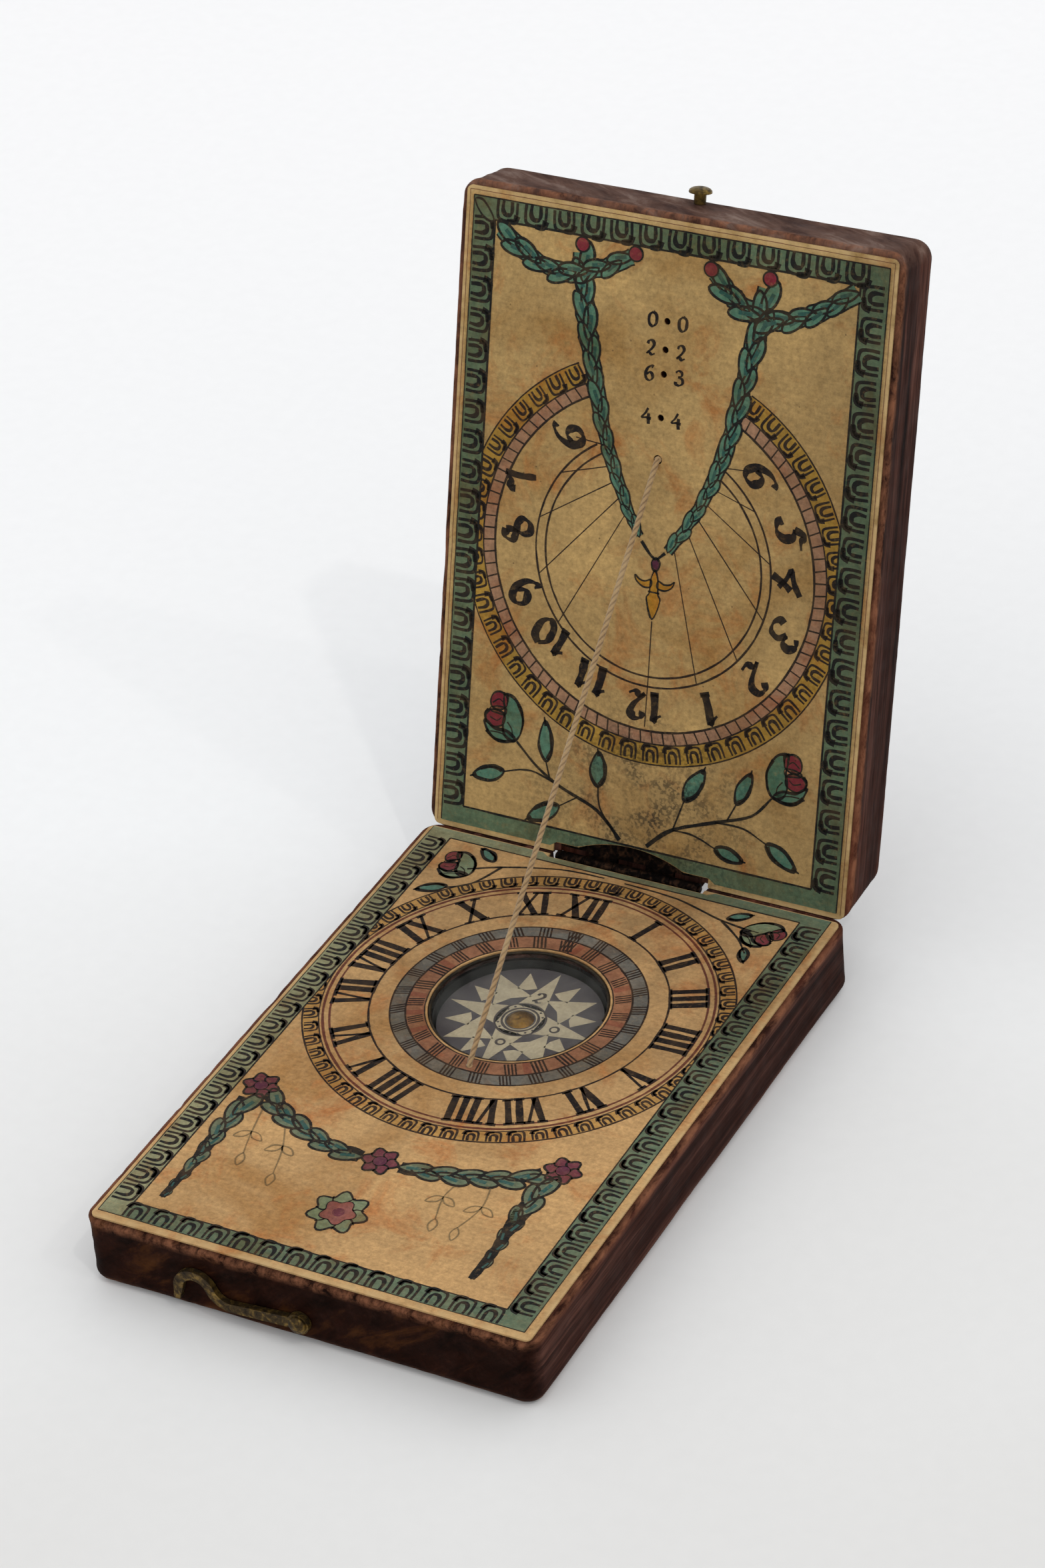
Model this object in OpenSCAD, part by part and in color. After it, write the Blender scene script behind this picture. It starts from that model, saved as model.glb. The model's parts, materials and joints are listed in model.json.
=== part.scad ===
// Pocket diptych sundial: two wooden leaves with printed dials, hinged along one short edge.
// It stands open, held by the string that is also its gnomon. A small compass sits in the
// lower leaf, and a hook on the front face catches a stud on the lid's free end.
// Millimetres. The origin is the middle of the lower leaf's resting face, +Z is up and
// +Y runs towards the hinge. Lid parts are drawn as they lie when closed, then opened.

/* [Leaves] */
// Width of each leaf, along the hinge
leaf_w = 61.4; // [60.8:0.2:64]
// Length of each leaf, from the hinge to the clasp
leaf_l = 88; // [86:0.5:92]
// Thickness of each leaf with its paper
leaf_t = 10; // [9.8:0.1:11]
// Angle between the leaves when the string is taut
open_angle = 106; // [96:1:112]
// Gap between the two papers when the sundial is shut
closed_gap = 0.2; // [0.1:0.05:0.3]
// Slope of the lid's hinge end, in millimetres of length for each millimetre of thickness
lid_bevel = 0.305; // [0.25:0.005:0.33]
// Radius of the worn outer edges
edge_r = 2.2; // [1:0.1:2.6]
// Radius of the worn edges beside the papers
arris_r = 0.5; // [0.2:0.1:0.6]
// Radius of the leaf corners in plan
corner_r = 2.4; // [1:0.1:3]

/* [Papers] */
// Width of the printed papers
paper_w = 59.8; // [59:0.1:60]
// Thickness of a pasted paper
paper_t = 0.25; // [0.15:0.05:0.3]
// Distance from a leaf's hinge end to its paper
paper_inset = 0.2; // [0.2:0.05:0.5]
// Length of the printed papers
paper_l = 87; // [85:0.1:87.2]

/* [Dial] */
// Sideways place of the common centre line of hinge, compass, string and clasp
line_x = -0.7; // [-1.5:0.1:1.5]
// Distance of the lower string hole from the hinge end
lower_hole_v = 44.3; // [43.5:0.1:46]
// Distance of the string hole in use from the lid's hinge end
upper_hole_v = 56.1; // [54:0.1:58]
// Diameter of the gnomon string
string_d = 0.85; // [0.7:0.05:0.95]

/* [Compass] */
// Distance of the compass centre from the hinge end
compass_v = 30.9; // [30.5:0.1:31.5]
// Outer radius of the compass bowl
bowl_r = 11.6; // [11.2:0.1:11.8]
// Height of the bowl's underside above the resting face
bowl_z = 2.8; // [2.4:0.1:3.2]
// Radius of the turning card
card_r = 10.7; // [10:0.1:10.8]

/* [Hinge] */
// Outer radius of the hinge knuckles
knuckle_r = 0.8; // [0.75:0.05:0.85]
// Radius of the hinge pin
pin_r = 0.35; // [0.3:0.05:0.4]
// Overall length of the five knuckles
barrel_l = 20.6; // [18:0.2:21]
// Thickness of the hinge plates
plate_t = 0.6; // [0.5:0.05:0.65]

/* [Clasp] */
// Height of the hook's pivot above the resting face
hook_pivot_z = 3.6; // [3.5:0.05:3.7]
// Distance of the stud from the lid's inner face
stud_t = 7.3; // [7.2:0.05:7.5]
// Thickness of the hook
hook_t = 0.8; // [0.7:0.05:0.85]

/* [Hidden] */
$fn = 64;
// A cutter runs this far past the face that it cuts
over = 1;
front_y = -leaf_l / 2;
back_y = leaf_l / 2;
wood_top = leaf_t - paper_t;
lid_face_z = leaf_t + closed_gap;
lid_wood_z = lid_face_z + paper_t;
lid_top_z = lid_face_z + leaf_t;

// The hinge line stands just behind the lower leaf and just under its printed face
axis_y = back_y + 0.1;
axis_z = leaf_t - 0.3;
knuckles = 5;
knuckle_gap = 0.08;
knuckle_l = (barrel_l - (knuckles - 1) * knuckle_gap) / knuckles;
// The lid's knuckles turn on the pin, the lower leaf's grip it
running_gap = 0.05;
plate_reach = 7;
plate_back = 1.1;
notch_half = barrel_l / 2 + 1;
lower_notch_y = back_y - 0.9;
lower_notch_z = leaf_t - 1.5;
lid_notch_depth = 1.5;
nail_xs = [-8, -2.8, 2.8, 8];
nail_y = back_y - 4.6;
nail_r = 0.4;
nail_head_r = 0.9;
nail_l = 4.6;

compass_y = back_y - compass_v;
bowl_wall = 0.5;
bowl_floor_z = bowl_z + bowl_wall;
glass_z = leaf_t - 1.3;
glass_t = 0.8;
glass_play = 0.05;
ring_wire_r = 0.2;
ring_open_angle = 7;
card_top_z = leaf_t - 2.4;
card_t = 0.3;
magnet_t = 0.6;
magnet_l = 18;
magnet_w = 1.7;
cap_r = 1.8;
cap_h = 0.8;
cap_stem_r = 1.1;
cap_stem_z = card_top_z - card_t - magnet_t - 0.1;
cap_seat_z = card_top_z + 0.45;

string_r = string_d / 2;
hole_r = string_r + 0.175;
spare_hole_r = 0.45;
spare_hole_vs = [61.6, 67.3, 70.5, 74.2];
// The string stands this far out of its holes before it bends
string_proud = 0.2;
knot_r = 1.45;
knot_h = 1.7;
knot_pocket_r = 2.2;
knot_pocket_h = 2.3;
lower_hole = [line_x, back_y - lower_hole_v];
upper_hole = [line_x, back_y - upper_hole_v];

hook_pivot = [line_x, front_y, hook_pivot_z];
hook_gap = 0.1;
hook_nail_r = 0.5;
hook_eye_r = 1.45;
// The mouth's centre, seen from the front and measured from the pivot
mouth = [-14.2, 0.5];
mouth_r = 1.65;
strip_w = 1.3;
hook_arm_w = 1.6;
arch_r = mouth_r + strip_w / 2;
// Angle about the mouth at which the arch passes into the arm
neck_angle = 20;
// Height of the arm's lowest point against the pivot
arm_low = -0.6;
neck_point = mouth + arch_r * [cos(neck_angle), sin(neck_angle)];
bow_r = (neck_point.y - arm_low) / (1 - sin(neck_angle));
bow = neck_point + bow_r * [cos(neck_angle), sin(neck_angle)];
hook_tip = mouth + [-arch_r - 0.3, -1.5];
hook_tip_r = 0.5;
stud = [line_x, front_y, lid_face_z + stud_t];
stud_neck_r = 0.78;
stud_neck_h = 1.4;
stud_head_r = 1.5;
stud_h = 2.15;
stud_shank_r = 0.5;
stud_shank_l = 4;

// Directions and points

function unit(v) = v / norm(v);
function half_corner(a, b, c) = acos(unit(a - b) * unit(c - b)) / 2;

// A point drawn on the closed lid, where it lies when the lid stands open
function opened_dir(v) = [
    v.x,
    v.y * cos(open_angle) + v.z * sin(open_angle),
    -v.y * sin(open_angle) + v.z * cos(open_angle)
];
function opened_point(p) = opened_dir(p - [0, axis_y, axis_z]) + [0, axis_y, axis_z];

module opened() {
    translate([0, axis_y, axis_z])
        rotate([-open_angle, 0, 0])
            translate([0, -axis_y, -axis_z])
                children();
}

// Convex outline with a true arc of its own radius at each corner
module rounded_outline(points, radii) {
    count = len(points);
    polygon([
        for (i = [0:count - 1])
            let (
                a = points[(i + count - 1) % count],
                b = points[i],
                c = points[(i + 1) % count],
                reach = radii[i] / tan(half_corner(a, b, c))
            )
            each [b + unit(a - b) * reach, b + unit(c - b) * reach]
    ]);
    for (i = [0:count - 1]) {
        a = points[(i + count - 1) % count];
        b = points[i];
        c = points[(i + 1) % count];
        middle = unit(unit(a - b) + unit(c - b));
        translate(b + middle * radii[i] / sin(half_corner(a, b, c)))
            circle(r = radii[i]);
    }
}

module centred_outline(width, length, radius) {
    x = width / 2;
    y = length / 2;
    rounded_outline([[-x, -y], [x, -y], [x, y], [-x, y]], [for (i = [1:4]) radius]);
}

// Extrudes an outline drawn in (y, z) along X
module along_x(length) {
    rotate([90, 0, 90])
        linear_extrude(length, center = true)
            children();
}

// Extrudes an outline drawn in (x, z) backwards along Y
module along_y(length) {
    rotate([90, 0, 0])
        linear_extrude(length, center = true)
            children();
}

// Leaves

module leaf_block(side_points, side_radii, low_z, high_z, low_r, high_r) {
    x = leaf_w / 2;
    intersection() {
        along_x(leaf_w)
            rounded_outline(side_points, side_radii);
        along_y(leaf_l + 2 * over)
            rounded_outline(
                [[-x, low_z], [x, low_z], [x, high_z], [-x, high_z]],
                [low_r, low_r, high_r, high_r]
            );
        translate([0, 0, low_z - over])
            linear_extrude(high_z - low_z + 2 * over)
                centred_outline(leaf_w, leaf_l, corner_r);
    }
}

module nail_holes(top_z, way) {
    for (x = nail_xs)
        translate([line_x + x, nail_y, top_z])
            rotate([way < 0 ? 180 : 0, 0, 0])
                cylinder(r = nail_r, h = nail_l);
}

module plate_bed(z) {
    translate([line_x - barrel_l / 2, back_y - plate_reach, z])
        cube([barrel_l, plate_reach + over, plate_t]);
}

module lower_leaf() {
    color([0.27, 0.18, 0.14])
    difference() {
        leaf_block(
            [[front_y, 0], [back_y, 0], [back_y, wood_top], [front_y, wood_top]],
            [edge_r, edge_r, paper_inset, arris_r],
            0, wood_top, edge_r, arris_r
        );
        translate([line_x, compass_y, bowl_z])
            cylinder(r = bowl_r, h = leaf_t, $fn = 96);
        translate([line_x - notch_half, lower_notch_y, lower_notch_z])
            cube([2 * notch_half, leaf_l, leaf_t]);
        plate_bed(wood_top - plate_t);
        nail_holes(wood_top - plate_t, -1);
        translate([lower_hole.x, lower_hole.y, -over])
            cylinder(r = hole_r, h = leaf_t + 2 * over);
        translate([lower_hole.x, lower_hole.y, -over])
            cylinder(r = knot_pocket_r, h = knot_pocket_h + over);
        translate(hook_pivot - [0, over, 0])
            rotate([-90, 0, 0])
                cylinder(r = hook_nail_r, h = 6 + over);
    }
}

module upper_leaf() {
    slope_y = back_y - lid_bevel * leaf_t;
    color([0.30, 0.20, 0.16])
    opened()
    difference() {
        leaf_block(
            [
                [front_y, lid_wood_z], [back_y - lid_bevel * paper_t, lid_wood_z],
                [slope_y, lid_top_z], [front_y, lid_top_z]
            ],
            [arris_r, 0.1, edge_r, edge_r],
            lid_wood_z, lid_top_z, arris_r, edge_r
        );
        translate([line_x - notch_half, back_y - lid_notch_depth, lid_wood_z - over])
            cube([2 * notch_half, leaf_l, leaf_t + 2 * over]);
        plate_bed(lid_wood_z);
        nail_holes(lid_wood_z + plate_t, 1);
        translate([upper_hole.x, upper_hole.y, lid_wood_z - over])
            cylinder(r = hole_r, h = leaf_t + 2 * over);
        translate([upper_hole.x, upper_hole.y, lid_top_z - knot_pocket_h])
            cylinder(r = knot_pocket_r, h = knot_pocket_h + over);
        for (v = spare_hole_vs)
            translate([line_x, back_y - v, lid_wood_z - over])
                cylinder(r = spare_hole_r, h = leaf_t + 2 * over);
        translate(stud - [0, over, 0])
            rotate([-90, 0, 0])
                cylinder(r = stud_shank_r, h = stud_shank_l + over);
    }
}

// Papers

module paper_outline() {
    translate([0, back_y - paper_inset - paper_l / 2])
        centred_outline(paper_w, paper_l, 0.8);
}

module lower_dial_paper() {
    color([0.78, 0.63, 0.41])
    translate([0, 0, wood_top])
        linear_extrude(paper_t)
            difference() {
                paper_outline();
                translate([line_x, compass_y])
                    circle(r = bowl_r, $fn = 96);
                translate(lower_hole)
                    circle(r = hole_r);
                translate([line_x - notch_half, lower_notch_y])
                    square([2 * notch_half, leaf_l]);
            }
}

// The lid's paper is cut away in a low arch over its hinge plate
arch_rise = 3.2;
arch_big_r = (barrel_l * barrel_l / 4 + arch_rise * arch_rise) / (2 * arch_rise);

module upper_dial_paper() {
    color([0.66, 0.54, 0.36])
    opened()
    translate([0, 0, lid_face_z])
        linear_extrude(paper_t)
            difference() {
                paper_outline();
                translate([line_x, back_y + arch_big_r - arch_rise])
                    circle(r = arch_big_r, $fn = 128);
                translate([line_x - notch_half, back_y - lid_notch_depth])
                    square([2 * notch_half, leaf_l]);
                for (v = concat([upper_hole_v], spare_hole_vs))
                    translate([line_x, back_y - v])
                        circle(r = v == upper_hole_v ? hole_r : spare_hole_r);
            }
}

// Compass

module compass_bowl() {
    color([0.16, 0.15, 0.15])
    translate([line_x, compass_y, 0])
    difference() {
        translate([0, 0, bowl_z])
            cylinder(r = bowl_r, h = glass_z - bowl_z, $fn = 96);
        translate([0, 0, bowl_floor_z])
            cylinder(r = bowl_r - bowl_wall, h = leaf_t, $fn = 96);
    }
}

module compass_pivot() {
    base_r = 1.5;
    point_z = cap_seat_z - running_gap;
    color([0.72, 0.60, 0.35])
    translate([line_x, compass_y, 0])
        rotate_extrude()
            polygon([
                [0, bowl_floor_z], [base_r, bowl_floor_z], [base_r, bowl_floor_z + 0.35],
                [0.55, bowl_floor_z + 0.9], [0.3, bowl_floor_z + 1.8],
                [0.25, point_z - 0.8], [0, point_z]
            ]);
}

module compass_glass() {
    color([0.85, 0.90, 0.88, 0.35])
    translate([line_x, compass_y, glass_z])
        cylinder(r = bowl_r - glass_play, h = glass_t, $fn = 96);
}

// A split ring of wire, sprung into the well to hold the glass down
module glass_ring() {
    color([0.55, 0.45, 0.22])
    translate([line_x, compass_y, glass_z + glass_t + ring_wire_r])
        rotate([0, 0, ring_open_angle])
            rotate_extrude(angle = 360 - ring_open_angle, $fn = 96)
                translate([bowl_r - glass_play - ring_wire_r, 0])
                    circle(r = ring_wire_r, $fn = 24);
}

module compass_card() {
    color([0.62, 0.58, 0.50])
    translate([line_x, compass_y, card_top_z - card_t])
    difference() {
        cylinder(r = card_r, h = card_t, $fn = 96);
        translate([0, 0, -over])
            cylinder(r = cap_stem_r, h = card_t + 2 * over);
    }
}

// Dished brass cap: its brim lies on the card and its hollow rides on the point
module compass_cap() {
    dome_r = (cap_r * cap_r + cap_h * cap_h) / (2 * cap_h);
    dome_z = card_top_z + cap_h - dome_r;
    seat_r = 0.12;
    color([0.60, 0.48, 0.22])
    translate([line_x, compass_y, 0])
    difference() {
        union() {
            intersection() {
                translate([0, 0, dome_z])
                    sphere(r = dome_r);
                translate([0, 0, card_top_z])
                    cylinder(r = cap_r + over, h = cap_h + over);
            }
            translate([0, 0, cap_stem_z])
                cylinder(r = cap_stem_r, h = card_top_z - cap_stem_z);
        }
        translate([0, 0, cap_stem_z])
            cylinder(r1 = cap_stem_r - 0.25, r2 = seat_r, h = cap_seat_z - cap_stem_z);
        translate([0, 0, cap_stem_z - over])
            cylinder(r = cap_stem_r - 0.25, h = over + 0.001);
    }
}

// Magnetised bar, pointed at its ends and widened round the cap
module compass_magnet() {
    point_l = 1.6;
    half_l = magnet_l / 2;
    half_w = magnet_w / 2;
    color([0.30, 0.32, 0.36])
    translate([line_x, compass_y, card_top_z - card_t - magnet_t])
        linear_extrude(magnet_t)
            difference() {
                union() {
                    polygon([
                        [0, -half_l], [half_w, -half_l + point_l], [half_w, half_l - point_l],
                        [0, half_l], [-half_w, half_l - point_l], [-half_w, -half_l + point_l]
                    ]);
                    circle(r = cap_stem_r + 0.9);
                }
                circle(r = cap_stem_r);
            }
}

// Hinge

function knuckle_x(i) = line_x - barrel_l / 2 + i * (knuckle_l + knuckle_gap);

module knuckle_tube(i, radius) {
    translate([knuckle_x(i), axis_y, axis_z])
        rotate([0, 90, 0])
            cylinder(r = radius, h = knuckle_l);
}

module knuckle_bore(i, radius) {
    translate([knuckle_x(i) - knuckle_gap / 2, axis_y, axis_z])
        rotate([0, 90, 0])
            cylinder(r = radius, h = knuckle_l + knuckle_gap);
}

module plate_body(z) {
    translate([line_x - barrel_l / 2, back_y - plate_reach, z])
        cube([barrel_l, plate_reach - plate_back, plate_t]);
}

module countersinks(z, way) {
    for (x = nail_xs)
        translate([line_x + x, nail_y, z])
            rotate([way < 0 ? 180 : 0, 0, 0]) {
                cylinder(r1 = nail_head_r, r2 = nail_r, h = plate_t);
                translate([0, 0, -over])
                    cylinder(r = nail_head_r, h = over);
                cylinder(r = nail_r, h = plate_t + over);
            }
}

module hinge_plate_lower() {
    z = wood_top - plate_t;
    color([0.13, 0.12, 0.12])
    difference() {
        union() {
            plate_body(z);
            for (i = [0, 2, 4]) {
                translate([knuckle_x(i), back_y - plate_back - 0.5, z])
                    cube([knuckle_l, plate_back + 0.5, plate_t]);
                knuckle_tube(i, knuckle_r);
            }
        }
        for (i = [0, 2, 4])
            knuckle_bore(i, pin_r);
        countersinks(wood_top, -1);
    }
}

module hinge_plate_upper() {
    z = lid_wood_z;
    tongue_low = axis_z + 0.3;
    color([0.13, 0.12, 0.12])
    opened()
    difference() {
        union() {
            plate_body(z);
            for (i = [1, 3]) {
                translate([knuckle_x(i), back_y - plate_back - 0.5, z])
                    cube([knuckle_l, plate_back + 1, plate_t]);
                translate([knuckle_x(i), axis_y - 0.5, tongue_low])
                    cube([knuckle_l, 1, z + plate_t - tongue_low]);
                knuckle_tube(i, knuckle_r);
            }
        }
        for (i = [1, 3])
            knuckle_bore(i, pin_r + running_gap);
        countersinks(z, 1);
    }
}

module hinge_pin() {
    head_r = pin_r + 0.22;
    head_h = 0.25;
    color([0.20, 0.19, 0.18])
    translate([line_x - barrel_l / 2, axis_y, axis_z])
        rotate([0, 90, 0])
            rotate_extrude($fn = 48)
                polygon([
                    [0, -head_h], [head_r - 0.15, -head_h], [head_r, -0.1], [head_r, 0],
                    [pin_r, 0], [pin_r, barrel_l],
                    [head_r, barrel_l], [head_r, barrel_l + 0.1],
                    [head_r - 0.15, barrel_l + head_h], [0, barrel_l + head_h]
                ]);
}

// A cut nail with a flush conical head, drawn pointing up from z = 0
module hinge_nail() {
    rotate_extrude($fn = 32)
        polygon([
            [0, 0], [nail_head_r, 0], [nail_r, plate_t], [nail_r, nail_l - 0.6],
            [0, plate_t + nail_l]
        ]);
}

module hinge_nails_lower() {
    color([0.25, 0.23, 0.21])
    for (x = nail_xs)
        translate([line_x + x, nail_y, wood_top])
            rotate([180, 0, 0])
                hinge_nail();
}

module hinge_nails_upper() {
    color([0.25, 0.23, 0.21])
    opened()
    for (x = nail_xs)
        translate([line_x + x, nail_y, lid_wood_z])
            hinge_nail();
}

// Clasp

// Middle line of the hook seen from the front: straight arm, upward bow, then an arch
// that opens downwards and ends in a short straight leg
hook_line = concat(
    [[-0.9, 0]],
    [for (a = [270:-10:180 + neck_angle]) bow + bow_r * [cos(a), sin(a)]],
    [for (a = [neck_angle + 10:10:180]) mouth + arch_r * [cos(a), sin(a)]],
    [hook_tip]
);

// The strip is widest where it leaves the eye and narrows only at its tip
function hook_half_w(i) =
    i == 0 ? hook_arm_w / 2
    : i == len(hook_line) - 1 ? hook_tip_r - 0.08
    : strip_w / 2;

function hook_side(way) = [
    for (i = [0:len(hook_line) - 1])
        let (ahead = unit(
            hook_line[min(i + 1, len(hook_line) - 1)] - hook_line[max(i - 1, 0)]
        ))
        hook_line[i] + way * hook_half_w(i) * [-ahead.y, ahead.x]
];

module hook_outline() {
    upper_side = hook_side(-1);
    lower_side = hook_side(1);
    difference() {
        union() {
            circle(r = hook_eye_r);
            polygon(concat(
                upper_side,
                [for (i = [len(lower_side) - 1:-1:0]) lower_side[i]]
            ));
            translate(hook_tip)
                circle(r = hook_tip_r);
        }
        circle(r = hook_nail_r + running_gap);
    }
}

module clasp_hook() {
    color([0.45, 0.37, 0.17])
    translate(hook_pivot - [0, hook_gap, 0])
        rotate([90, 0, 0])
            linear_extrude(hook_t)
                hook_outline();
}

// The nail's domed head stands clear of the hook
module clasp_nail() {
    head_z = hook_gap + hook_t + running_gap;
    head_r = 1.15;
    head_h = 0.6;
    color([0.30, 0.25, 0.14])
    translate(hook_pivot)
        rotate([90, 0, 0])
            rotate_extrude($fn = 48)
                polygon([
                    [0, -6], [hook_nail_r, -5], [hook_nail_r, head_z], [head_r, head_z],
                    [head_r, head_z + 0.15],
                    for (a = [15:15:75])
                        [head_r * cos(a), head_z + 0.15 + (head_h - 0.15) * sin(a)],
                    [0, head_z + head_h]
                ]);
}

module clasp_stud() {
    rim_z = stud_neck_h + 0.15;
    color([0.46, 0.38, 0.18])
    opened()
    translate(stud)
        rotate([90, 0, 0])
            rotate_extrude($fn = 48)
                polygon([
                    [0, -stud_shank_l], [stud_shank_r, -stud_shank_l + 0.6],
                    [stud_shank_r, 0], [stud_neck_r, 0],
                    [stud_neck_r, stud_neck_h - 0.15], [stud_head_r, stud_neck_h],
                    [stud_head_r, rim_z],
                    for (a = [15:15:75])
                        [stud_head_r * cos(a), rim_z + (stud_h - rim_z) * sin(a)],
                    [0, stud_h]
                ]);
}

// String

// An overhand knot drawn tight: two turns and a stub, below a straight tail along +Z
module knot_and_tail(tail_l) {
    turn_r = knot_h / 4;
    difference() {
        union() {
            for (level = [0, 1])
                translate([0, 0, -turn_r - level * 2 * turn_r * 0.94])
                    rotate_extrude($fn = 40)
                        translate([knot_r - turn_r, 0])
                            circle(r = turn_r, $fn = 20);
            translate([0, 0, -knot_h + 0.1])
                cylinder(r = knot_r - turn_r, h = knot_h - 0.2);
            translate([0, 0, -knot_h + 0.2])
                cylinder(r = string_r, h = tail_l + knot_h - 0.2, $fn = 32);
        }
    }
}

module string_knot_lower() {
    color([0.62, 0.48, 0.30])
    translate([lower_hole.x, lower_hole.y, knot_pocket_h])
        knot_and_tail(leaf_t + string_proud - knot_pocket_h);
}

module string_knot_upper() {
    tail_l = leaf_t + string_proud - knot_pocket_h;
    color([0.62, 0.48, 0.30])
    opened()
    translate([upper_hole.x, upper_hole.y, lid_top_z - knot_pocket_h])
        rotate([180, 0, 0])
            knot_and_tail(tail_l);
}

// The taut span leaves each hole squarely, turns in a short bend and runs straight
string_from = [lower_hole.x, lower_hole.y, leaf_t + string_proud];
string_to = opened_point([upper_hole.x, upper_hole.y, lid_face_z - string_proud - 0.02]);
string_way = unit(string_to - string_from);
string_in = opened_dir([0, 0, 1]);
string_bend = 0.5;
string_rings = 30;
string_route = concat(
    [string_from],
    [
        for (i = [0:string_rings])
            let (
                a = string_from + string_bend * (string_way + [0, 0, 0.3]),
                b = string_to - string_bend * (string_way + 0.3 * string_in)
            )
            a + (b - a) * i / string_rings
    ],
    [string_to]
);

function ring_way(i) =
    i == 0 ? [0, 0, 1]
    : i == len(string_route) - 1 ? string_in
    : unit(string_route[i + 1] - string_route[i - 1]);

module gnomon_string() {
    sides = 8;
    count = len(string_route);
    points = [
        for (i = [0:count - 1])
            let (way = ring_way(i), across = [1, 0, 0], up = cross(way, across))
            for (k = [0:sides - 1])
                let (a = 360 * k / sides)
                string_route[i] + string_r * (cos(a) * across + sin(a) * up)
    ];
    faces = concat(
        [[for (k = [sides - 1:-1:0]) k]],
        [
            for (i = [0:count - 2], k = [0:sides - 1])
                let (m = (k + 1) % sides)
                [i * sides + k, i * sides + m, (i + 1) * sides + m, (i + 1) * sides + k]
        ],
        [[for (k = [0:sides - 1]) (count - 1) * sides + k]]
    );
    color([0.66, 0.52, 0.32])
        polyhedron(points, [for (f = faces) [for (k = [len(f) - 1:-1:0]) f[k]]]);
}

lower_leaf();
lower_dial_paper();
compass_bowl();
compass_pivot();
compass_glass();
glass_ring();
hinge_plate_lower();
hinge_pin();
hinge_nails_lower();
clasp_nail();
string_knot_lower();
gnomon_string();
upper_leaf();
upper_dial_paper();
hinge_plate_upper();
hinge_nails_upper();
clasp_stud();
string_knot_upper();
compass_card();
compass_cap();
compass_magnet();
clasp_hook();
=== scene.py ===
"""Looks of a pocket diptych sundial: two worn wooden leaves with printed and painted paper dials.

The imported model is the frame. Everything here is in metres in that frame, drawn from sizes in
millimetres. The artwork is drawn on each leaf in sheet coordinates: x to the right and u up the
page as its reader sees it, both from the middle of the hinge end, and h off the paper.
"""

import json
import logging
import math
from collections.abc import Callable, Iterable, Sequence
from dataclasses import dataclass, field
from enum import Enum

import bmesh
import bpy
from mathutils import Matrix, Vector, noise

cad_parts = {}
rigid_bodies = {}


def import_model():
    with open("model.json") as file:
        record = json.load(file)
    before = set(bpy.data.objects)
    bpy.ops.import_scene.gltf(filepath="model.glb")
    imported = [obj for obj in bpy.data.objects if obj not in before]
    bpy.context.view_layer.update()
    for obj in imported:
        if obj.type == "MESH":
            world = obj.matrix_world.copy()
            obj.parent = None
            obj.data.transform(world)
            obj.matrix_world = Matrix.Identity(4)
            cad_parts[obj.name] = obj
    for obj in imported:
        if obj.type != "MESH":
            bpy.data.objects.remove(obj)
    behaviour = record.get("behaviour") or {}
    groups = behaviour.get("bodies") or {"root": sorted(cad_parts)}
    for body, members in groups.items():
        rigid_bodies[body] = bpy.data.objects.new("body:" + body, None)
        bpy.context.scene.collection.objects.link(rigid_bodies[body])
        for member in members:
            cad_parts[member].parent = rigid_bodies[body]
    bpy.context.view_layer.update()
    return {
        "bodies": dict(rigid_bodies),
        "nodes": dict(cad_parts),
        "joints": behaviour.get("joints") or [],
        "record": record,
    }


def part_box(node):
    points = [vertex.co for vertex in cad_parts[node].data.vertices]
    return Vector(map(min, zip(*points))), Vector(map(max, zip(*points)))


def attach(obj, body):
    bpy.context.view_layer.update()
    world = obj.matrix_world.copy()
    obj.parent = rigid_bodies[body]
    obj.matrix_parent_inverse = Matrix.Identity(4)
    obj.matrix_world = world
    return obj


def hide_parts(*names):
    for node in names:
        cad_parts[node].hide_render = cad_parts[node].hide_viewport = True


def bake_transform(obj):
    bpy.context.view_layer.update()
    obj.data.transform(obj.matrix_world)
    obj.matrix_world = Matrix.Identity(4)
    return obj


LOG = logging.getLogger("diptych_sundial")
MM = 0.001

Point = tuple[float, float]
Colour = tuple[float, float, float]
Outline = Sequence[Point]
Socket = bpy.types.NodeSocket
Material = bpy.types.Material
Piece = bpy.types.Object
Value = float | tuple | Socket


class Body(Enum):
    """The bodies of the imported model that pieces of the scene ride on."""

    BASE = "base"
    LID = "lid"
    COMPASS = "compass"


class Slot(Enum):
    """The material slots of the record."""

    WOOD = "wood"
    UPPER_PAPER = "upper_paper"
    LOWER_PAPER = "lower_paper"
    BOWL = "bowl"
    GLASS = "glass"
    IRON = "iron"
    BRASS = "brass"
    STRING = "string"
    CARD = "card"
    STEEL = "steel"


def linear(colour: Colour) -> Colour:
    """Turns a display colour, from 0 to 255, into a linear one, from 0 to 1."""
    parts = (part / 255 for part in colour)
    return tuple(p / 12.92 if p <= 0.04045 else ((p + 0.055) / 1.055) ** 2.4 for p in parts)


# Places and sheets


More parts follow.
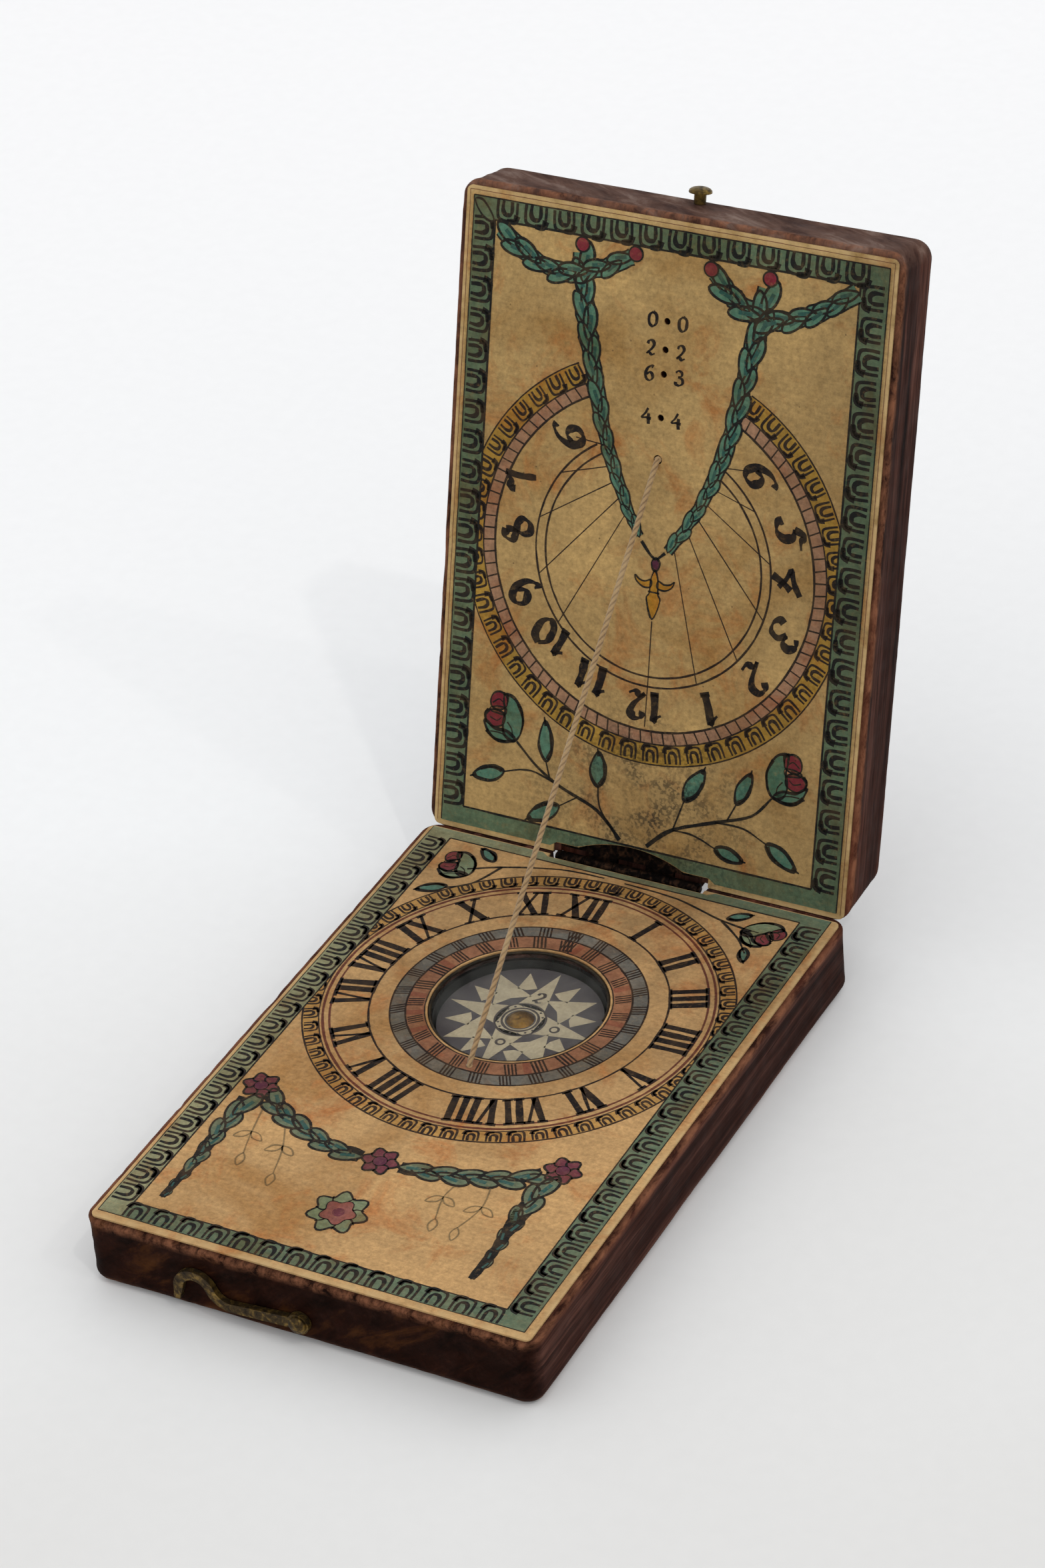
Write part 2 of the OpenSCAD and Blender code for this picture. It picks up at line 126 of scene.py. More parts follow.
@dataclass(frozen=True)
class Sheet:
    """A flat sheet to draw on.

    Attributes:
        origin: Where x, u and h are all zero, in metres.
        up: Unit direction of u.
        out: Unit direction of h, towards the reader.
    """

    origin: Vector = field(default_factory=Vector)
    up: Vector = field(default_factory=lambda: Vector((0, 1, 0)))
    out: Vector = field(default_factory=lambda: Vector((0, 0, 1)))

    def at(self, x: float, u: float, h: float = 0.0) -> Vector:
        """Gives in metres the point x to the right, u up the page and h off it, in millimetres."""
        return self.origin + MM * (x * Vector((1, 0, 0)) + u * self.up + h * self.out)

    def read(self, place: Vector) -> tuple[float, float, float]:
        """Gives x, u and h, in millimetres, of a point in metres."""
        offset = (place - self.origin) / MM
        return offset.x, offset.dot(self.up), offset.dot(self.out)

    def lean(self) -> float:
        """Gives the turn about X, in radians, that lays this sheet level with u along Y."""
        return -math.atan2(self.up.z, self.up.y)


@dataclass(frozen=True)
class Frame:
    """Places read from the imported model.

    Attributes:
        lower: The printed face of the lower leaf, with u negative towards the clasp.
        upper: The printed face of the lid as it stands open, with u up towards its free end.
        line_x: Sideways place of the line of string and compass, in millimetres.
        compass_u: Place of the compass centre on the lower sheet, in millimetres.
        hinge: The point of the hinge line at x zero, in metres.
    """

    lower: Sheet
    upper: Sheet
    line_x: float
    compass_u: float
    hinge: Vector

    CLOSED_GAP = 0.2
    LOWER_HOLE_U = -44.3
    UPPER_HOLE_U = 56.1

    @classmethod
    def read(cls, frame: dict) -> "Frame":
        """Works the places out from the loaded frame.


        Returns:
            The places.
        """
        joints = {joint["name"]: joint for joint in frame["joints"]}
        hinge = Vector(joints["lid_hinge"]["pos_m"])
        compass = Vector(joints["compass_spin"]["pos_m"])
        turn = Matrix.Rotation(math.radians(joints["lid_hinge"]["range_deg"][0]), 3, "X")
        leaf_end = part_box("lower_leaf")[1].y
        face_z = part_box("lower_dial_paper")[1].z
        shut = Vector((0, leaf_end, face_z + cls.CLOSED_GAP * MM))
        upper = Sheet(hinge + turn @ (shut - hinge), turn @ Vector((0, -1, 0)), turn @ Vector((0, 0, -1)))
        lower = Sheet(Vector((0, leaf_end, face_z)))
        return cls(lower, upper, compass.x / MM, (compass.y - leaf_end) / MM, hinge)


# Node building


class Nodes:
    """Adds nodes to a tree and links them."""

    def __init__(self, tree: bpy.types.NodeTree) -> None:
        """Starts on a tree."""
        self.tree = tree

    def feed(self, socket: Socket, value: Value) -> None:
        """Links a socket to another, or sets its value."""
        if isinstance(value, Socket):
            self.tree.links.new(value, socket)
        else:
            socket.default_value = value

    def node(self, kind: str, inputs: dict[str | int, Value], **settings: object) -> bpy.types.Node:
        """Adds a node.

        Args:
            kind: The node's type name.
            inputs: Values or sockets for its inputs, by name or number.
            **settings: Properties of the node itself.

        Returns:
            The node.
        """
        made = self.tree.nodes.new(kind)
        for key, value in settings.items():
            setattr(made, key, value)
        for key, value in inputs.items():
            self.feed(made.inputs[key], value)
        return made

    def sum(self, how: str, first: Value, second: Value) -> Socket:
        """Does arithmetic on two numbers, such as ADD."""
        return self.node("ShaderNodeMath", {0: first, 1: second}, operation=how).outputs[0]

    def times(self, first: Value, second: Value) -> Socket:
        """Multiplies two numbers."""
        return self.sum("MULTIPLY", first, second)


class Shader(Nodes):
    """Builds the nodes of one material around its Principled shader."""

    def __init__(self, name: str) -> None:
        """Starts a material with its Principled shader and Object coordinates."""
        self.material = bpy.data.materials.new(name)
        self.material.use_nodes = True
        super().__init__(self.material.node_tree)
        self.surface = self.tree.nodes["Principled BSDF"]
        self.place = self.tree.nodes.new("ShaderNodeTexCoord").outputs["Object"]

    def attribute(self, name: str, output: str = "Fac") -> Socket:
        """Reads an attribute of the mesh."""
        return self.node("ShaderNodeAttribute", {}, attribute_name=name).outputs[output]

    def turned(self, turn_x: float, centre: Vector = Vector()) -> Socket:
        """Gives Object coordinates from a centre, turned about X."""
        moved = self.away(self.place, tuple(centre))
        return self.node("ShaderNodeMapping", {0: moved, "Rotation": (turn_x, 0, 0)}).outputs[0]

    def away(self, source: Socket, centre: Colour) -> Socket:
        """Gives coordinates measured from a centre."""
        return self.node("ShaderNodeVectorMath", {0: source, 1: centre}, operation="SUBTRACT").outputs[0]

    def stretched(self, source: Socket, scale: Colour) -> Socket:
        """Scales coordinates along each axis."""
        return self.node("ShaderNodeMapping", {0: source, "Scale": scale}).outputs[0]

    def noise(
        self, scale: float, detail: float = 3, rough: float = 0.5,
        at: Socket | None = None, twist: float = 0,
    ) -> Socket:
        """Adds noise from 0 to 1, with a scale in features for each metre, and twist as its distortion."""
        inputs = {"Vector": at or self.place, "Scale": scale, "Detail": detail,
                  "Roughness": rough, "Distortion": twist}
        return self.node("ShaderNodeTexNoise", inputs).outputs["Fac"]

    def cells(self, scale: float, at: Socket | None = None) -> Socket:
        """Adds the distance to the nearest of scattered points."""
        inputs = {"Vector": at or self.place, "Scale": scale}
        return self.node("ShaderNodeTexVoronoi", inputs).outputs["Distance"]

    def spread(self, value: Value, low: float, high: float, first: float = 0, last: float = 1) -> Socket:
        """Maps a value from one range to another, held at its ends."""
        inputs = {0: value, 1: low, 2: high, 3: first, 4: last}
        return self.node("ShaderNodeMapRange", inputs).outputs[0]

    def ramp(self, value: Socket, stops: Sequence[tuple[float, Colour]]) -> Socket:
        """Colours a value.

        Args:
            value: From 0 to 1.
            stops: Places with their display colours.

        Returns:
            The colour.
        """
        made = self.node("ShaderNodeValToRGB", {0: value})
        elements = made.color_ramp.elements
        while len(elements) < len(stops):
            elements.new(0.5)
        for element, (place, colour) in zip(elements, stops):
            element.position = place
            element.color = (*linear(colour), 1)
        return made.outputs[0]

    def mix(self, share: Value, first: Value, second: Value, blend: str = "MIX") -> Socket:
        """Mixes two colours, with a share of the second from 0 to 1."""
        inputs = {0: share, 6: first, 7: second}
        return self.node("ShaderNodeMix", inputs, data_type="RGBA", blend_type=blend).outputs[2]

    def bump(self, height: Socket, depth_mm: float, strength: float = 1.0) -> None:
        """Gives the surface relief of a depth in millimetres, over any that it has."""
        inputs = {"Height": height, "Distance": depth_mm * MM, "Strength": strength}
        made = self.node("ShaderNodeBump", inputs)
        normal = self.surface.inputs["Normal"]
        if normal.is_linked:
            self.feed(made.inputs["Normal"], normal.links[0].from_socket)
        self.feed(normal, made.outputs[0])

    def set(self, **inputs: Value) -> Material:
        """Sets inputs of the Principled shader, with underscores for spaces, and gives the material."""
        for name, value in inputs.items():
            self.feed(self.surface.inputs[name.replace("_", " ")], value)
        return self.material


def rgba(colour: Colour) -> tuple[float, float, float, float]:
    """Gives a display colour as a linear one with full alpha."""
    return (*linear(colour), 1.0)


# Finishes


@dataclass(frozen=True)
class Finish:
    """A surface finish, with its material's name."""

    name: str


@dataclass(frozen=True)
class WornWood(Finish):
    """Dark stained hardwood, waxed and rubbed through on its edges.

    Attributes:
        turn: Turn about X that lays the grain along Y, in radians.
        cut: Colours of the end grain at the free end, from its dark streaks to its pale ones; they hold
            painted light and shade, pale and grey for the lid's lit top end with its sheen, near black for
            the base's shaded front end.
        dark: Colour in the pores and the dark bands.
        mid: Colour of most of the wood.
        light: Colour of the pale bands.
        bare: Colour where the stain is worn off.
    """

    turn: float
    cut: tuple[Colour, Colour, Colour]
    dark: Colour = (22, 11, 9)
    mid: Colour = (56, 33, 27)
    light: Colour = (98, 64, 54)
    bare: Colour = (146, 96, 70)

    def build(self) -> Material:
        """Makes the material; it reads the wear and end attributes of its mesh."""
        s = Shader(self.name)
        level = s.turned(self.turn)
        band = s.noise(430, 6, 0.68, s.stretched(level, (1.0, 0.035, 1.0)), 0.4)
        fibre = s.noise(2100, 3, 0.7, s.stretched(level, (1.0, 0.03, 1.0)))
        pore = s.spread(s.cells(1300, s.stretched(level, (1.0, 0.07, 1.0))), 0.04, 0.22)
        red = s.noise(190, 3, 0.55, s.stretched(level, (1.0, 0.03, 1.0)))
        tone = s.ramp(band, [(0.34, self.dark), (0.5, self.mid), (0.68, self.light)])
        tone = s.mix(s.spread(red, 0.54, 0.66, 0.0, 0.5), tone, rgba((104, 54, 36)))
        tone = s.mix(s.spread(fibre, 0.42, 0.7, 0.0, 0.65), tone, rgba(self.dark))
        tone = s.mix(pore, s.mix(0.6, tone, rgba(self.dark)), tone)
        slanted = s.node("ShaderNodeMapping", {0: level, "Rotation": (0, 0.62, 0)}).outputs[0]
        streak = s.noise(330, 5, 0.66, s.stretched(slanted, (0.3, 1.0, 1.0)), 0.5)
        # Painted light and shade: the free end takes the cut colours, pale on the lid's lit top end and near
        # black on the base's shaded front end.
        cut = s.ramp(streak, list(zip((0.36, 0.54, 0.74), self.cut)))
        end = s.attribute("end")
        tone = s.mix(s.times(end, 0.9), tone, cut)
        wear = s.attribute("wear")
        scuffs = s.spread(s.noise(520, 6, 0.74, s.stretched(level, (1.0, 0.35, 1.0)), 0.3), 0.40, 0.62)
        rubbed = s.times(s.times(wear, scuffs), 0.8)
        tone = s.mix(rubbed, tone, rgba(self.bare))
        s.bump(band, 0.14, 0.5)
        s.bump(fibre, 0.06, 0.5)
        s.bump(pore, 0.05, 0.8)
        rough = s.spread(s.noise(330, 4), 0.3, 0.7, 0.55, 0.78)
        return s.set(Base_Color=tone, Roughness=rough, Specular_IOR_Level=0.03)


@dataclass(frozen=True)
class AgedPaper(Finish):
    """Laid paper, browned, foxed and rubbed.

    Attributes:
        tone: Display colour of the plain paper.
        sheet: The sheet that it covers.
        u_sign: 1 where u runs up from the hinge, -1 where it runs down.
        grime_at: Middle of a grimy patch in sheet coordinates.
        grime_size: Half width and half height of that patch.
        grime_depth: How strong the patch is, from 0 to 1.
        speckle: How strong the patch's dark specks are, from 0 to 1.
        shade_right: How far the right edge darkens, from 0 to 1.
        middle: How far the paper's middle lies from the hinge end of the leaf.
        half: Half its width and half its length.
    """

    tone: Colour
    sheet: Sheet
    u_sign: int
    grime_at: Point
    grime_size: Point
    grime_depth: float
    speckle: float
    shade_right: float
    middle: float = 43.5
    half: Point = (29.9, 43.6)

    def _tone(self, s: Shader) -> Socket:
        """Builds the colour of the bare paper, stains and all."""
        tone = Vector(self.tone)
        pale = tuple(min(255, c) for c in tone * 1.12)
        deep = tuple(c * k for c, k in zip(tone, (0.90, 0.84, 0.74)))
        fox = tuple(c * k for c, k in zip(tone, (0.94, 0.70, 0.50)))
        paper = s.ramp(s.noise(55, 5, 0.6, twist=0.5), [(0.34, deep), (0.5, self.tone), (0.68, pale)])
        blot = s.spread(s.noise(120, 6, 0.68, twist=0.8), 0.52, 0.70, 0.0, 0.75)
        paper = s.mix(blot, paper, rgba(fox))
        speck = s.spread(s.cells(260), 0.02, 0.11, 0.5, 0.0)
        paper = s.mix(s.times(speck, s.spread(s.noise(90), 0.5, 0.62)), paper, rgba(fox))
        grain = s.spread(s.noise(1400, 5, 0.8), 0.3, 0.7, 0.62, 1.2)
        level = s.turned(self.sheet.lean(), self.sheet.origin)
        laid = s.spread(s.noise(2600, 1, 0.4, s.stretched(level, (0.05, 1.0, 0.05))), 0.3, 0.7, 0.94, 1.05)
        paper = s.mix(1.0, paper, s.times(grain, laid), "MULTIPLY")
        parts = s.node("ShaderNodeSeparateXYZ", {0: level})
        side = s.spread(parts.outputs[0], 0.010, 0.031, 0.0, self.shade_right)
        paper = s.mix(side, paper, rgba((70, 52, 34)))
        reaches = []
        for place, half, middle in zip(parts.outputs, self.half, (0.0, self.u_sign * self.middle)):
            off = s.sum("SUBTRACT", place, middle * MM)
            reaches.append(s.sum("DIVIDE", s.sum("ABSOLUTE", off, 0.0), half * MM))
        rim = s.spread(s.sum("MAXIMUM", *reaches), 0.972, 0.995)
        rubbed = s.times(rim, s.spread(s.noise(420, 4), 0.3, 0.6))
        paper = s.mix(s.times(rubbed, 0.7), paper, rgba((196, 166, 118)))
        return self._grime(s, paper, level)

    def _grime(self, s: Shader, paper: Socket, level: Socket) -> Socket:
        """Adds the grimy patch with its dark specks."""
        centred = s.away(level, (self.grime_at[0] * MM, self.grime_at[1] * MM, 0))
        reach = s.stretched(centred, (1 / (self.grime_size[0] * MM), 1 / (self.grime_size[1] * MM), 1.0))
        away = s.node("ShaderNodeVectorMath", {0: reach}, operation="LENGTH").outputs["Value"]
        patch = s.times(s.spread(away, 0.15, 1.1, 1.0, 0.0), s.spread(s.noise(240, 4), 0.3, 0.6))
        paper = s.mix(s.times(patch, self.grime_depth), paper, rgba((84, 70, 50)))
        dots = s.spread(s.noise(2000, 2, 0.5), 0.48, 0.56, 0.0, self.speckle)
        dots = s.times(dots, patch)
        paper = s.mix(dots, paper, rgba((44, 38, 28)))
        few = s.times(s.spread(s.cells(620), 0.03, 0.10, 0.7, 0.0), s.spread(s.noise(150), 0.54, 0.62))
        return s.mix(few, paper, rgba((58, 40, 26)))

    def build(self, inked: bool = False) -> Material:
        """Makes the material.

        Args:
            inked: Whether the paper is seen through the mesh's ink attribute.

        Returns:
            The material.
        """
        s = Shader(self.name + ("_ink" if inked else ""))
        paper = self._tone(s)
        if inked:
            tint = s.attribute("ink", "Color")
            thin = s.spread(s.noise(1500, 4, 0.7), 0.52, 0.88, 0.0, 0.35)
            pale = s.spread(s.noise(300, 3, 0.6), 0.45, 0.80, 0.0, 0.12)
            fade = s.sum("MAXIMUM", thin, pale)
            tint = s.mix(fade, tint, (1.0, 0.97, 0.93, 1.0))
            paper = s.mix(1.0, paper, tint, "MULTIPLY")
        s.bump(s.noise(900, 5, 0.7), 0.05, 0.5)
        s.bump(s.noise(120, 3), 0.25, 0.35)
        return s.set(Base_Color=paper, Roughness=0.82, Specular_IOR_Level=0.22)


@dataclass(frozen=True)
class OldMetal(Finish):
    """Metal with tarnish in its hollows and brighter rubbed places.

    Attributes:
        bright: Colour where it is rubbed.
        dull: Colour under tarnish.
        crust: Colour of dirt.
        metallic: How metallic it is.
        rough: Least and greatest roughness.
    """

    bright: Colour
    dull: Colour
    crust: Colour
    metallic: float = 0.9
    rough: tuple[float, float] = (0.28, 0.55)

    def build(self) -> Material:
        """Makes the material."""
        s = Shader(self.name)
        patina = s.noise(900, 5, 0.65, twist=0.6)
        tone = s.ramp(patina, [(0.3, self.crust), (0.5, self.dull), (0.72, self.bright)])
        dirt = s.spread(s.noise(2600, 4, 0.7), 0.5, 0.68, 0.0, 0.7)
        tone = s.mix(dirt, tone, rgba(self.crust))
        s.bump(s.noise(1800, 5, 0.7), 0.03, 0.6)
        s.bump(s.noise(420, 2), 0.08, 0.3)
        rough = s.spread(patina, 0.35, 0.7, self.rough[1], self.rough[0])
        return s.set(Base_Color=tone, Metallic=self.metallic, Roughness=rough)


@dataclass(frozen=True)
class Lacquer(Finish):
    """Old dark lacquer with dust on it."""

    tone: Colour = (26, 24, 23)
    dust: Colour = (58, 54, 48)

    def build(self) -> Material:
        """Makes the material."""
        s = Shader(self.name)
        settled = s.spread(s.noise(420, 5, 0.68), 0.48, 0.75, 0.0, 0.5)
        tone = s.mix(settled, rgba(self.tone), rgba(self.dust))
        s.bump(s.noise(1500, 4, 0.7), 0.03, 0.5)
        return s.set(Base_Color=tone, Roughness=s.spread(settled, 0.0, 0.5, 0.42, 0.8))


@dataclass(frozen=True)
class OldGlass(Finish):
    """Thin old window glass with a light haze.

    Attributes:
        tint: Colour of the haze.
        clear: Least and greatest share of the view that the haze takes.
    """

    tint: Colour = (168, 170, 164)
    clear: tuple[float, float] = (0.005, 0.07)

    def build(self) -> Material:
        """Makes the material."""
        s = Shader(self.name)
        haze = s.spread(s.noise(110, 4, 0.6), 0.35, 0.7, *self.clear)
        tone = s.mix(s.spread(s.noise(700, 3), 0.4, 0.7, 0.0, 0.4), rgba(self.tint), rgba((140, 142, 134)))
        s.bump(s.noise(60, 2), 0.10, 0.15)
        return s.set(Base_Color=tone, Roughness=0.06, Alpha=haze, Specular_IOR_Level=0.5)


@dataclass(frozen=True)
class Thread(Finish):
    """Twisted flax thread, browned with age, with painted shade between its plies."""

    tone: Colour = (170, 138, 94)
    # Painted shade colour for the grooves between the plies.
    deep: Colour = (98, 72, 44)

    def build(self) -> Material:
        """Makes the material; it reads the ply attribute, 1 on the ridges and 0 between them."""
        s = Shader(self.name)
        ply = s.attribute("ply")
        fibre = s.noise(5200, 4, 0.7)
        # Painted shade: darker where the ply attribute is low, in the grooves between the plies.
        tone = s.mix(s.spread(ply, 0.0, 0.8), rgba(self.deep), rgba(self.tone))
        tone = s.mix(s.spread(fibre, 0.3, 0.7, 0.35, 0.0), tone, rgba((92, 66, 38)))
        tone = s.mix(s.spread(s.noise(140, 3), 0.45, 0.7, 0.0, 0.4), tone, rgba((186, 160, 118)))
        s.bump(fibre, 0.06, 0.9)
        return s.set(Base_Color=tone, Roughness=0.72, Sheen_Weight=0.25, Sheen_Roughness=0.5)


@dataclass(frozen=True)
class PrintedCard(Finish):
    """The compass card: painted, dusty and a little stained."""

    tone: Colour
    stain: Colour

    def build(self) -> Material:
        """Makes the material."""
        s = Shader(self.name)
        blotch = s.spread(s.noise(380, 5, 0.66, twist=0.5), 0.4, 0.72, 0.0, 0.8)
        tone = s.mix(blotch, rgba(self.tone), rgba(self.stain))
        grain = s.spread(s.noise(3000, 3, 0.7), 0.3, 0.7, 0.85, 1.1)
        tone = s.mix(1.0, tone, grain, "MULTIPLY")
        s.bump(s.noise(1600, 4, 0.7), 0.03, 0.5)
        return s.set(Base_Color=tone, Roughness=0.75, Specular_IOR_Level=0.25)


@dataclass(frozen=True)
class StudioFloor(Finish):
    """Plain matt paper with painted shade that makes it a little greyer near the camera than far off.

    Attributes:
        near: Colour near the camera, darkened as painted shade.
        middle: Colour round the object.
        far: Colour far behind the object.
        span: Places of near and far along the view, in metres from the object.
    """

    name: str = "studio_floor"
    near: Colour = (221, 219, 216)
    middle: Colour = (246, 246, 246)
    far: Colour = (250, 249, 249)
    span: tuple[float, float] = (-0.13, 0.30)

    def build(self) -> Material:
        """Makes the material."""
        s = Shader(self.name)
        view = {0: s.place, 1: (-0.506, 0.863, 0.0)}
        away = s.node("ShaderNodeVectorMath", view, operation="DOT_PRODUCT").outputs["Value"]
        soft = s.spread(s.noise(9, 2), 0.3, 0.7, -0.02, 0.02)
        share = s.spread(s.sum("ADD", away, soft), *self.span)
        # Painted shade and light: greyer towards the camera, paler round and behind the object.
        tone = s.ramp(share, [(0.0, self.near), (0.5, self.middle), (1.0, self.far)])
        fleck = s.spread(s.noise(400, 3), 0.3, 0.7, 0.985, 1.0)
        tone = s.mix(1.0, tone, fleck, "MULTIPLY")
        return s.set(Base_Color=tone, Roughness=0.9, Specular_IOR_Level=0.1)


# Meshes


def new_object(name: str, data: bpy.types.ID) -> Piece:
    """Adds an object to the scene at the origin."""
    made = bpy.data.objects.new(name, data)
    bpy.context.scene.collection.objects.link(made)
    return made


def write_values(piece: Piece, name: str, values: Sequence[float]) -> None:
    """Writes a number for each vertex of a piece."""
    piece.data.attributes.new(name, "FLOAT", "POINT").data.foreach_set("value", values)


def mesh_piece(
    name: str, vertices: Iterable[Vector], faces: Iterable[Sequence[int]], material: Material
) -> Piece:
    """Makes a mesh object at the origin.

    Args:
        name: The piece's name.
        vertices: Places in metres.
        faces: Vertex numbers, anticlockwise seen from outside.
        material: Its material.

    Returns:
        The object.
    """
    mesh = bpy.data.meshes.new(name)
    mesh.from_pydata([tuple(v) for v in vertices], [], [tuple(f) for f in faces])
    mesh.validate()
    mesh.materials.append(material)
    return new_object(name, mesh)


def applied(piece: Piece) -> Piece:
    """Turns a piece's modifiers into plain mesh and removes them.

    Args:
        piece: A mesh or curve object with modifiers.

    Returns:
        A mesh object of the same name, in its place.
    """
    name = piece.name
    graph = bpy.context.evaluated_depsgraph_get()
    mesh = bpy.data.meshes.new_from_object(piece.evaluated_get(graph))
    bpy.data.objects.remove(piece)
    return new_object(name, mesh)


def shade_smooth(piece: Piece, angle: float) -> None:
    """Shades a piece smooth except over edges sharper than an angle in degrees."""
    mesh = piece.data
    mesh.shade_smooth()
    mesh.set_sharp_from_angle(angle=math.radians(angle))


def dress(node: str, material: Material) -> None:
    """Gives a CAD node its material.

    Args:
        node: The node's name.
        material: Its material.
    """
    piece = bpy.data.objects[node]
    piece.data.materials.clear()
    piece.data.materials.append(material)
    LOG.info("%s: CAD piece, finish %s", node, material.name)


def hand_over(piece: Piece, body: Body, slot: Slot, *stands_for: str) -> None:
    """Sets a finished piece on its body.

    Args:
        piece: The piece.
        body: The body that it rides on.
        slot: Its slot in the record, which is not used.
        *stands_for: CAD nodes that it replaces.
    """
    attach(piece, body.value)
    if stands_for:
        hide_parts(*stands_for)
    LOG.info("%s: %d faces on %s", piece.name, len(piece.data.polygons), body.value)


def circle(centre: Point, radius: float, start: float, end: float, step: float = 3) -> list[Point]:
    """Gives points round an arc.

    Args:
        centre: Its centre.
        radius: Its radius.
        start: First angle in degrees, anticlockwise from the right.
        end: Last angle.
        step: Degrees from point to point at most.

    Returns:
        The points, ends included.
    """
    count = max(2, math.ceil(abs(end - start) / step))
    angles = (math.radians(start + (end - start) * i / count) for i in range(count + 1))
    return [(centre[0] + radius * math.cos(a), centre[1] + radius * math.sin(a)) for a in angles]


def curve_through(points: Outline, steps: int = 6, closed: bool = False) -> list[Point]:
    """Draws a smooth line through points.

    Args:
        points: The points.
        steps: Pieces of line from each point to the next.
        closed: Whether the line returns to its start.

    Returns:
        The points of the line; a closed one doesn't repeat its first.
    """
    count = len(points)
    if count < 3:
        return list(points)
    spans = count if closed else count - 1
    line: list[Point] = []
    for i in range(spans):
        near = range(i - 1, i + 3)
        a, b, c, d = (Vector(points[k % count if closed else min(max(k, 0), count - 1)]) for k in near)
        for k in range(steps):
            t = k / steps
            line.append(tuple(0.5 * (
                2 * b + (c - a) * t + (2 * a - 5 * b + 4 * c - d) * t * t
                + (3 * b - a - 3 * c + d) * t ** 3
            )))
    if not closed:
        line.append(tuple(points[-1]))
    return line


def placed(points: Outline, centre: Point, size: float, turn: float = 0, flip: bool = False) -> list[Point]:
    """Scales, mirrors, turns and moves points.

    Args:
        points: The points.
        centre: Where their origin goes.
        size: Their scale.
        turn: Turn in degrees, anticlockwise.
        flip: Whether left and right are swapped first.

    Returns:
        The moved points.
    """
    c = math.cos(math.radians(turn))
    s = math.sin(math.radians(turn))
    side = -1 if flip else 1
    return [
        (centre[0] + size * (side * x * c - u * s), centre[1] + size * (side * x * s + u * c))
        for x, u in points
    ]


# Ink


# Both papers are one stock: the lid's darker tone is painted shade on its face.
UPPER_TONE: Colour = (166, 136, 86)
LOWER_TONE: Colour = (186, 147, 98)


@dataclass(frozen=True)
class Ink:
    """A printing ink or a water colour.

    Attributes:
        colour: Its display colour where it lies on the upper paper.
        layer: Its place in the order of painting; a higher one covers a lower one.
    """

    colour: Colour
    layer: int

    def tint(self) -> Colour:
        """Gives how much of the paper's light the ink lets back."""
        return tuple(i / p for i, p in zip(linear(self.colour), linear(UPPER_TONE)))

    def over(self, layer: int) -> "Ink":
        """Gives the same ink in another layer."""
        return Ink(self.colour, layer)


class Inks(Ink, Enum):
    """The inks of the two dials, in the order in which they lie."""

    OCHRE = (152, 118, 46), 1
    PALE_OCHRE = (158, 124, 64), 1
    PINK = (146, 110, 84), 1
    GREY = (94, 94, 82), 1
    ORANGE = (128, 90, 62), 1
    RING_LINE = (34, 24, 18), 2
    RED_LINE = (88, 48, 34), 2
    NUMERAL = (20, 14, 13), 3
    GREEN = (82, 99, 74), 4
    PALE_GREEN = (118, 122, 88), 4
    BAND_LINE = (18, 18, 16), 5
    TEAL = (72, 110, 90), 6
    FADED_TEAL = (84, 98, 74), 6
    DEEP_TEAL = (38, 76, 68), 7
    CREAM = (170, 128, 92), 7
    CRIMSON = (112, 32, 44), 7
    MULBERRY = (92, 46, 52), 7
    PURPLE = (76, 34, 52), 7
    GOLD = (158, 112, 30), 7
    FAINT = (112, 96, 62), 7
    OUTLINE = (18, 18, 16), 8


@dataclass(frozen=True)
class Nib:
    """A broad pen: its line is thick across the nib's edge and thin along it.

    Attributes:
        wide: Greatest width of its line.
        thin: Least width.
        slant: Angle of the nib's edge in degrees.
    """

    wide: float
    thin: float
    slant: float = 30

    def width(self, way: Vector) -> float:
        """Gives the width of a line that runs in a direction."""
        across = math.sin(math.atan2(way.y, way.x) - math.radians(self.slant))
        return self.thin + (self.wide - self.thin) * abs(across)


